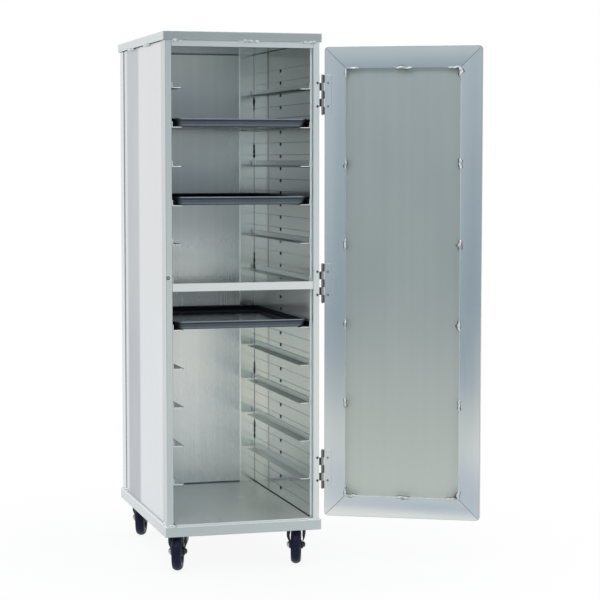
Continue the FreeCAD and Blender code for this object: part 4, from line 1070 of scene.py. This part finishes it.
class RACK_OT_hinges(bpy.types.Operator):
    """Hinge leaves, knuckles and pins on the post and on the door"""
    bl_idname = "rack.hinges"
    bl_label = "Hinges"

    def execute(self, context):
        sizes, colours = context.scene.rack_sizes, context.scene.rack_colours
        toward_door = (-math.cos(DOOR_OPEN), -math.sin(DOOR_OPEN), 0)
        # The far edge of the leaf on the door is darkened to hide its highlight: painted shade.
        leaf_edge_shade = door_upright(sizes, sizes.leaf_width - sizes.door_edge, 0.3)

        def from_line(tree):
            return tree.vector("SUBTRACT", tree.place(), tuple(HINGE_LINE))

        # The tabs beside each barrel are darkened: painted shade.
        def tab_shade(tree):
            away = tree.vector("LENGTH", tree.vector("MULTIPLY", from_line(tree), (1, 1, 0)))
            return away.rise(sizes.knuckle, sizes.knuckle + 0.0004)

        # On the door's hinge the half of each barrel towards the door is darkened as well: painted shade.
        def door_side_shade(tree):
            along = tree.vector("DOT_PRODUCT", from_line(tree), toward_door)
            return tab_shade(tree).most(along.rise(-0.0006, 0.0014) * 0.8)

        steel = {"cabinet": plated_steel("hinge_steel", colours.hinge, 0.34, dark=tab_shade),
                 "door": plated_steel("hinge_steel_door", colours.hinge, 0.34, dark=door_side_shade)}
        # The leaf on the post takes the right post's lighter colour, which is painted light.
        post = shade(colours.post, RIGHT_POST_PAINTED_LIGHT)[:3]
        sheets = {"cabinet": sheet_metal("leaf_on_post", post, 0),
                  "door": sheet_metal("leaf_on_door", colours.door_frame, 0, leaf_edge_shade, crown=door_crown(sizes, True))}
        # Rivets on the post get a lighter and rivets on the door a darker copy of one rivet colour: painted light and
        # painted shade.
        for owner, painted_light in (("post", 1.9), ("door", 0.45)):
            tint = shade(colours.rivet, painted_light)[:3]
            dress([f"hinge_{owner}_rivets"], plated_steel(f"rivet_heads_{owner}", tint, 0.45))
        edges = {"cabinet": HINGE_LINE[0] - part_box("post_front_right")[1].x, "door": sizes.door_edge}
        faces = {"cabinet": sizes.door_face - sizes.leaf_wall, "door": -sizes.door_face}
        for body, node in {"cabinet": "hinge_post_leaves", "door": "hinge_door_leaves"}.items():
            plates, barrels = Shells(), Shells()
            for middle in self.levels(sizes):
                low = middle - sizes.hinge_height / 2
                grids = [self.plate(sizes, low, faces[body], edges[body])]
                grids += self.knuckles(sizes, low, faces[body], edges[body], range(body == "cabinet", 5, 2))
                grids = [swung(grid) if body == "door" else grid + HINGE_LINE * (1, 1, 0) for grid in grids]
                plates.add(grids[0])
                for grid in grids[1:]:
                    barrels.add(grid)
            plates.piece(f"{node}_plates", sheets[body], body, "hinge_steel", [node])
            barrels.piece(f"{node}_knuckles", steel[body], body, "hinge_steel", [node])
        pins = Shells()
        for middle in self.levels(sizes):
            for end in (-1, 1):
                tip = (*HINGE_LINE[:2], middle + end * sizes.hinge_height / 2)
                pins.add(turned(PIN_HEAD, tip, (0, 0, end), 24))
        pins.piece("hinge_pin_heads", steel["cabinet"], "cabinet", "hinge_steel", ["hinge_pins"])
        return {"FINISHED"}

    def levels(self, sizes):
        """Middle height of each hinge."""
        return HINGE_LINE[2] + np.array([-1, 0, 1]) * sizes.hinge_spacing

    def plate(self, sizes, low, face, edge):
        """Plate of a leaf with rounded corners, as far as the edge of the sheet that it lies on."""
        high = low + sizes.hinge_height
        return soft_slab((-sizes.leaf_width, face, low), (-edge, face + sizes.leaf_wall, high), 0.0025)

    def knuckles(self, sizes, low, face, edge, places):
        """For each knuckle a chamfered barrel and the tab that carries it."""
        step, gap, lap = sizes.hinge_height / 5, 0.00015, 0.0010
        r, c = sizes.knuckle, 0.0005
        grids = []
        for place in places:
            bottom = low + place * step + gap
            top = bottom + step - 2 * gap
            grids.append(soft_slab((-edge - lap, face, bottom), (-lap, face + sizes.leaf_wall, top), c))
            barrel = [(bottom, r - c), (bottom + c, r), (top - c, r), (top, r - c)]
            grids.append(turned(barrel, (0, 0, 0), (0, 0, 1), 40))
        return grids


class RACK_OT_door(bpy.types.Operator):
    """Finish of the door's frame and sheet, tack welds round the frame, and the pull"""
    bl_idname = "rack.door"
    bl_label = "Door"

    def execute(self, context):
        sizes, colours = context.scene.rack_sizes, context.scene.rack_colours
        edge, lines = sizes.sheet_edge, mitres_and_edge_shade(sizes)
        # The latch stile's inner edge face is painted pale, white with less metal: a painted highlight.
        for name, lit in (("door_hinge_stile", None), ("door_latch_stile", door_upright(sizes, sizes.frame_width))):
            dress([name], sheet_metal(name, colours.door_frame, edge, lines, lit, door_crown(sizes, True)))
        dress(["door_top_rail", "door_bottom_rail"],
              sheet_metal("door_rail", colours.door_frame, edge, lines, crown=door_crown(sizes, False)))
        # Low on the door's sheet the colour turns warmer and paler with less metal, fading out upward: painted light
        # from the floor.
        painted_tint, pale_low_light = (before("Z", *LOW_PAINTED_LIGHT, share) for share in (0.224, 0.32))
        dress(["door_skin"], sheet_metal("door_sheet", colours.door_skin, edge, painted_tint, pale_low_light, painted_tint=WARM_LIGHT_TINT))
        self.tacks(sizes, weld_metal("door_weld", colours.tack), weld_metal("door_weld_edge", colours.shaded_weld))
        self.pull(sizes, plated_steel("pull_steel", PULL_STEEL, 0.26))
        return {"FINISHED"}

    def tacks(self, sizes, finish, dark_shade):
        """Beads where the frame's inner edge meets the sheet, at the corners and along each member, each in a wider
        dark edge whose dark colour is painted shade.
        """
        beads, edges = Shells(), Shells()
        left = -sizes.door_edge - sizes.door_width + sizes.frame_width
        right = -sizes.door_edge - sizes.frame_width
        low = sizes.door_bottom + sizes.frame_width
        high = sizes.door_bottom + sizes.door_height - sizes.frame_width
        y = -sizes.door_face - 0.0012
        middle = (left + right) / 2
        past, level_run, upright_run = 0.001, 0.042, 0.030
        runs = []
        for z in TACK_LEVELS:
            for x in (left, right):
                runs.append(((x, z - sizes.tack / 2), (x, z + sizes.tack / 2)))
        for z in (low, high):
            runs.append(((middle - 0.030, z), (middle + 0.026, z)))
        for x, inward in ((left, 1), (right, -1)):
            for z, upward in ((low, 1), (high, -1)):
                runs.append(((x - inward * past, z), (x + inward * level_run, z)))
                runs.append(((x, z - upward * past), (x, z + upward * upright_run)))
        for seed, ((x0, z0), (x1, z1)) in enumerate(runs):
            grown = 1.5 if max(x0, x1) <= left else 1.0
            width, height = sizes.bead_width * grown, sizes.bead_height * grown
            for shells, wider, higher in ((beads, 0.85, 1.2), (edges, 1.25, 0.6)):
                bead = weld_bead((x0, y, z0), (x1, y, z1), width * wider, height * higher, (0, 1, 0), seed)
                shells.add(swung(bead))
        beads.piece("door_tack_welds", finish, "door", "door_frame_aluminium")
        edges.piece("door_tack_edges", dark_shade, "door", "door_frame_aluminium")

    def pull(self, sizes, finish):
        """Round bar bowed off the door's outside, with a weld collar round each foot."""
        low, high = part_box("door_pull")
        r, inset, stand, sunk = sizes.pull_radius, 0.035, 0.040, 0.0004
        z0, z1 = low.z + r, high.z - r
        x = -sizes.door_edge - sizes.door_width + inset
        face = -sizes.door_face - sizes.door_depth
        grip = face - stand
        path = eased([(face + sunk, z0), (grip, z0), (grip, z1), (face + sunk, z1)], 0.016, 12)
        points = np.stack([np.full(len(path), x), path[:, 0], path[:, 1]], -1)
        shells = Shells().add(swung(round_bar(points, r, (1, 0, 0), 28)))
        collar = [(0.0, r * 0.9), (0.0, r + 0.0030), (0.0010, r + 0.0024), (0.0022, r + 0.0008), (0.0032, r * 0.9)]
        for z in (z0, z1):
            shells.add(swung(turned(collar, (x, face + sunk / 2, z), (0, -1, 0), 40).swapaxes(0, 1)), True)
        shells.piece("door_pull_bar", finish, "door", "pull_steel", ["door_pull"])


class RACK_OT_welds(bpy.types.Operator):
    """Stitch welds under the lid, round the base and in the back corners, and the catch's turned pieces"""
    bl_idname = "rack.welds"
    bl_label = "Welds and catch"

    def execute(self, context):
        sizes, colours = context.scene.rack_sizes, context.scene.rack_colours
        self.stitches(sizes, weld_metal("stitch_weld", colours.weld))
        self.corners(sizes, weld_metal("corner_weld", colours.shaded_weld))
        self.catch(colours)
        return {"FINISHED"}

    def stitches(self, sizes, finish):
        """Beads along each outer seam: lid to posts and posts to base."""
        sunk, off_lid, off_base = 0.0006, 0.0022, 0.0012
        side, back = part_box("post_front_right")[1].x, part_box("post_rear_right")[1].y + off_base
        lid, foot = LID_BOTTOM - sunk, BASE_TOP + sunk
        front, low_front = POST_FACE - off_lid, POST_FACE - off_base
        runs = [((x0, front, lid), (x1, front, lid), (0, 0, -1)) for x0, x1 in LID_FRONT_STITCHES]
        for s in (-1, 1):
            x, low_x = s * (side + off_lid), s * (side + sunk)
            runs += [((x, y0, lid), (x, y1, lid), (0, 0, -1)) for y0, y1 in LID_SIDE_STITCHES]
            runs += [((low_x, y0, foot), (low_x, y1, foot), (s * 0.7, 0, 0.7)) for y0, y1 in BASE_SIDE_STITCHES]
            x0, x1 = BASE_FRONT_STITCH
            runs.append(((s * x0, low_front, foot), (s * x1, low_front, foot), (0, -0.7, 0.7)))
        runs += [((x0, back, foot), (x1, back, foot), (0, 0.7, 0.7)) for x0, x1 in BASE_BACK_STITCHES]
        shells = Shells()
        for seed, (start, end, out) in enumerate(runs, 40):
            shells.add(weld_bead(start, end, sizes.bead_width * 1.15, sizes.bead_height * 1.2, out, seed))
        shells.piece("cabinet_stitch_welds", finish, "cabinet", "shell_aluminium")

    def corners(self, sizes, finish):
        """Beads that stitch the wall linings to the back posts, dark with painted shade."""
        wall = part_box("wall_lining_right")[0].x - 0.0006
        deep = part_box("wall_lining_right")[1].y - 0.0008
        width, height = sizes.bead_width * 0.7, sizes.bead_height * 0.7
        shells = Shells()
        for seed, (low, high) in enumerate(CORNER_STITCHES):
            for s in (-1, 1):
                ends = (s * wall, deep, low), (s * wall, deep, high)
                shells.add(weld_bead(*ends, width, height, (-s * 0.7, -0.7, 0), seed))
        shells.piece("back_corner_welds", finish, "cabinet", "lining_aluminium")

    def catch(self, colours):
        """Dark ring with a rounded lip, and a bright pole with a dimple in it."""
        low, high = (np.array(corner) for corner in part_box("catch_button"))
        centre, out = ((low[0] + high[0]) / 2, high[1], (low[2] + high[2]) / 2), (0, -1, 0)
        dark = moulded_rubber("catch_ring", colours.catch, 0.4)
        Shells().ring(CATCH_RING, centre, out, 48).piece("catch_ring", dark, "cabinet", "catch_ring", ["catch_button"])
        steel = plated_steel("catch_pole", colours.zinc, 0.3)
        pole = Shells().add(turned(CATCH_POLE, centre, out, 32))
        pole.piece("catch_pole_turned", steel, "cabinet", "catch_pole_steel", ["catch_pole"])


# Studio: lamps as name, place, height of the point that each faces, and size; the floor's zones in reflections
LAMPS = (("key", (-2.4, -4.4, 5.0), 0.9, 2.4), ("fill", (2.8, -4.6, 4.6), 0.8, 2.4), ("top", (-0.4, 0.4, 5.0), 0, 3.0))
PAPER = (0.86, 0.86, 0.86, 1)
WHITE = (1, 1, 1, 1)
FLOOR_LEFT, FLOOR_MIDDLE, FLOOR_RIGHT = (0.68, 0.71, 0.67, 1), (0.80, 0.82, 0.79, 1), (0.97, 0.97, 0.91, 1)
FLOOR_BEHIND, FLOOR_SHADED = (0.93, 0.945, 0.95, 1), (0.42, 0.49, 0.57, 1)
SHADED_PLACE = (-0.2, -1.6, 0)
DOOR_SIGHT = (-0.512, -0.852, -0.11)
FLOOR_HALF = 14.0


class RACK_OT_stage(bpy.types.Operator):
    """White floor, soft lamps, a room that is darker in front, and the camera"""
    bl_idname = "rack.stage"
    bl_label = "Studio"

    def execute(self, context):
        scene = context.scene
        studio = scene.rack_studio
        scene.view_settings.view_transform = "Standard"
        self.floor(scene, studio)
        self.room(scene, studio)
        for name, place, aim, size in LAMPS:
            self.lamp(scene, name, place, (0, 0, aim), size, getattr(studio, name))
        camera = bpy.data.objects.new("camera", bpy.data.cameras.new("camera"))
        camera.data.lens = studio.lens
        camera.location = studio.camera
        camera.rotation_euler = (TURN / 4 - studio.pitch, 0, -studio.yaw)
        scene.collection.objects.link(camera)
        scene.camera = camera
        return {"FINISHED"}

    def floor(self, scene, studio):
        """Wide white square that keeps a faint shadow near the rack; reflections show it in pale and dim zones."""
        mesh = bpy.data.meshes.new("floor")
        corners = [(x * FLOOR_HALF, y * FLOOR_HALF, 0) for x, y in ((-1, -1), (1, -1), (1, 1), (-1, 1))]
        mesh.from_pydata(corners, [], [(0, 1, 2, 3)])
        floor = bpy.data.objects.new("floor", mesh)
        scene.collection.objects.link(floor)
        tree = Tree(bpy.data.materials.new("floor_white"))
        seen = tree.value("ShaderNodeLightPath", output="Is Camera Ray")
        gloss = tree.value("ShaderNodeLightPath", output="Is Glossy Ray")
        paper = tree.value("ShaderNodeBsdfDiffuse", None, {"Color": PAPER})
        place = tree.place()
        away = tree.vector("LENGTH", place)
        x, y = tree.axis(place, "X"), tree.axis(place, "Y")
        shaded = (1 - tree.vector("DISTANCE", place, SHADED_PLACE).rise(0.5, 1.0)) * (1 - y.rise(-1.35, -1.1))
        off = (1 - x.rise(-1.2, -0.2)) * (1 - y.rise(-4.6, -3.2)) * (x / y).rise(0.30, 0.42).between(0.5, 1.0)
        mirrored = tree.blend(x.rise(-0.8, -0.3), FLOOR_LEFT, FLOOR_MIDDLE)
        mirrored = tree.blend(x.rise(0.3, 1.0), mirrored, FLOOR_RIGHT)
        mirrored = tree.blend(y.rise(-0.5, 0.5), mirrored, FLOOR_BEHIND)
        mirrored = tree.blend(shaded, mirrored, FLOOR_SHADED)
        mirrored = tree.blend(off, mirrored, shade(studio.beside))
        white = tree.value("ShaderNodeEmission", None, {"Color": tree.blend(seen, mirrored, WHITE), "Strength": 1.0})
        share = seen.most(gloss) * away.rise(0.4, 1.6).between(0.90, 1.0)
        mixed = tree.value("ShaderNodeMixShader", None, {0: share, 1: paper, 2: white})
        tree.node("ShaderNodeOutputMaterial", None, {"Surface": mixed})
        mesh.materials.append(tree.owner)

    def room(self, scene, studio):
        """White to the camera; to reflections nearly white behind, grey in front and darkest where the door faces."""
        tree = Tree(bpy.data.worlds.new("room"))
        scene.world = tree.owner
        direction = tree.value("ShaderNodeTexCoord", output="Generated")
        depth = tree.axis(direction, "Y").rise(-0.6, 0.3)
        facing = tree.vector("DOT_PRODUCT", direction, DOOR_SIGHT)
        tint = tree.blend(depth, shade(studio.front), shade(studio.behind))
        tint = tree.blend(tree.axis(direction, "X").rise(0.25, 0.80), tint, shade(studio.right))
        tint = tree.blend(facing.rise(0.978, 0.999), tint, shade(studio.beside))
        seen = tree.value("ShaderNodeLightPath", output="Is Camera Ray")
        light = tree.value("ShaderNodeBackground", None, {"Color": tint, "Strength": 1.0})
        white = tree.value("ShaderNodeBackground", None, {"Color": WHITE, "Strength": 1.0})
        mixed = tree.value("ShaderNodeMixShader", None, {0: seen, 1: light, 2: white})
        tree.node("ShaderNodeOutputWorld", None, {"Surface": mixed})

    def lamp(self, scene, name, place, target, size, power):
        """Square lamp that faces a point."""
        data = bpy.data.lights.new(name, "AREA")
        data.energy = power
        data.size = size
        lamp = bpy.data.objects.new(name, data)
        lamp.location = place
        away = lamp.location - Vector(target)
        lamp.rotation_euler = away.to_track_quat("Z", "Y").to_euler()
        scene.collection.objects.link(lamp)


STEPS = (RACK_OT_shell, RACK_OT_lining, RACK_OT_slides, RACK_OT_pans, RACK_OT_casters, RACK_OT_hinges, RACK_OT_door,
         RACK_OT_welds, RACK_OT_stage)


class RACK_PT_panel(bpy.types.Panel):
    """Steps that dress the rack"""
    bl_label = "Sheet pan rack"
    bl_idname = "RACK_PT_panel"
    bl_space_type = "VIEW_3D"
    bl_region_type = "UI"
    bl_category = "Rack"

    def draw(self, context):
        for step in STEPS:
            self.layout.operator(step.bl_idname)


GROUPS = {"rack_sizes": RackSizes, "rack_colours": RackColours, "rack_studio": RackStudio}


def register():
    for group in (*GROUPS.values(), *STEPS, RACK_PT_panel):
        bpy.utils.register_class(group)
    for name, group in GROUPS.items():
        setattr(bpy.types.Scene, name, bpy.props.PointerProperty(type=group))


def unregister():
    for name in GROUPS:
        delattr(bpy.types.Scene, name)
    for group in (RACK_PT_panel, *reversed(STEPS), *GROUPS.values()):
        bpy.utils.unregister_class(group)


def main():
    """Runs every step."""
    register()
    for step in STEPS:
        family, name = step.bl_idname.split(".")
        getattr(getattr(bpy.ops, family), name)()


if __name__ == "__main__":
    main()
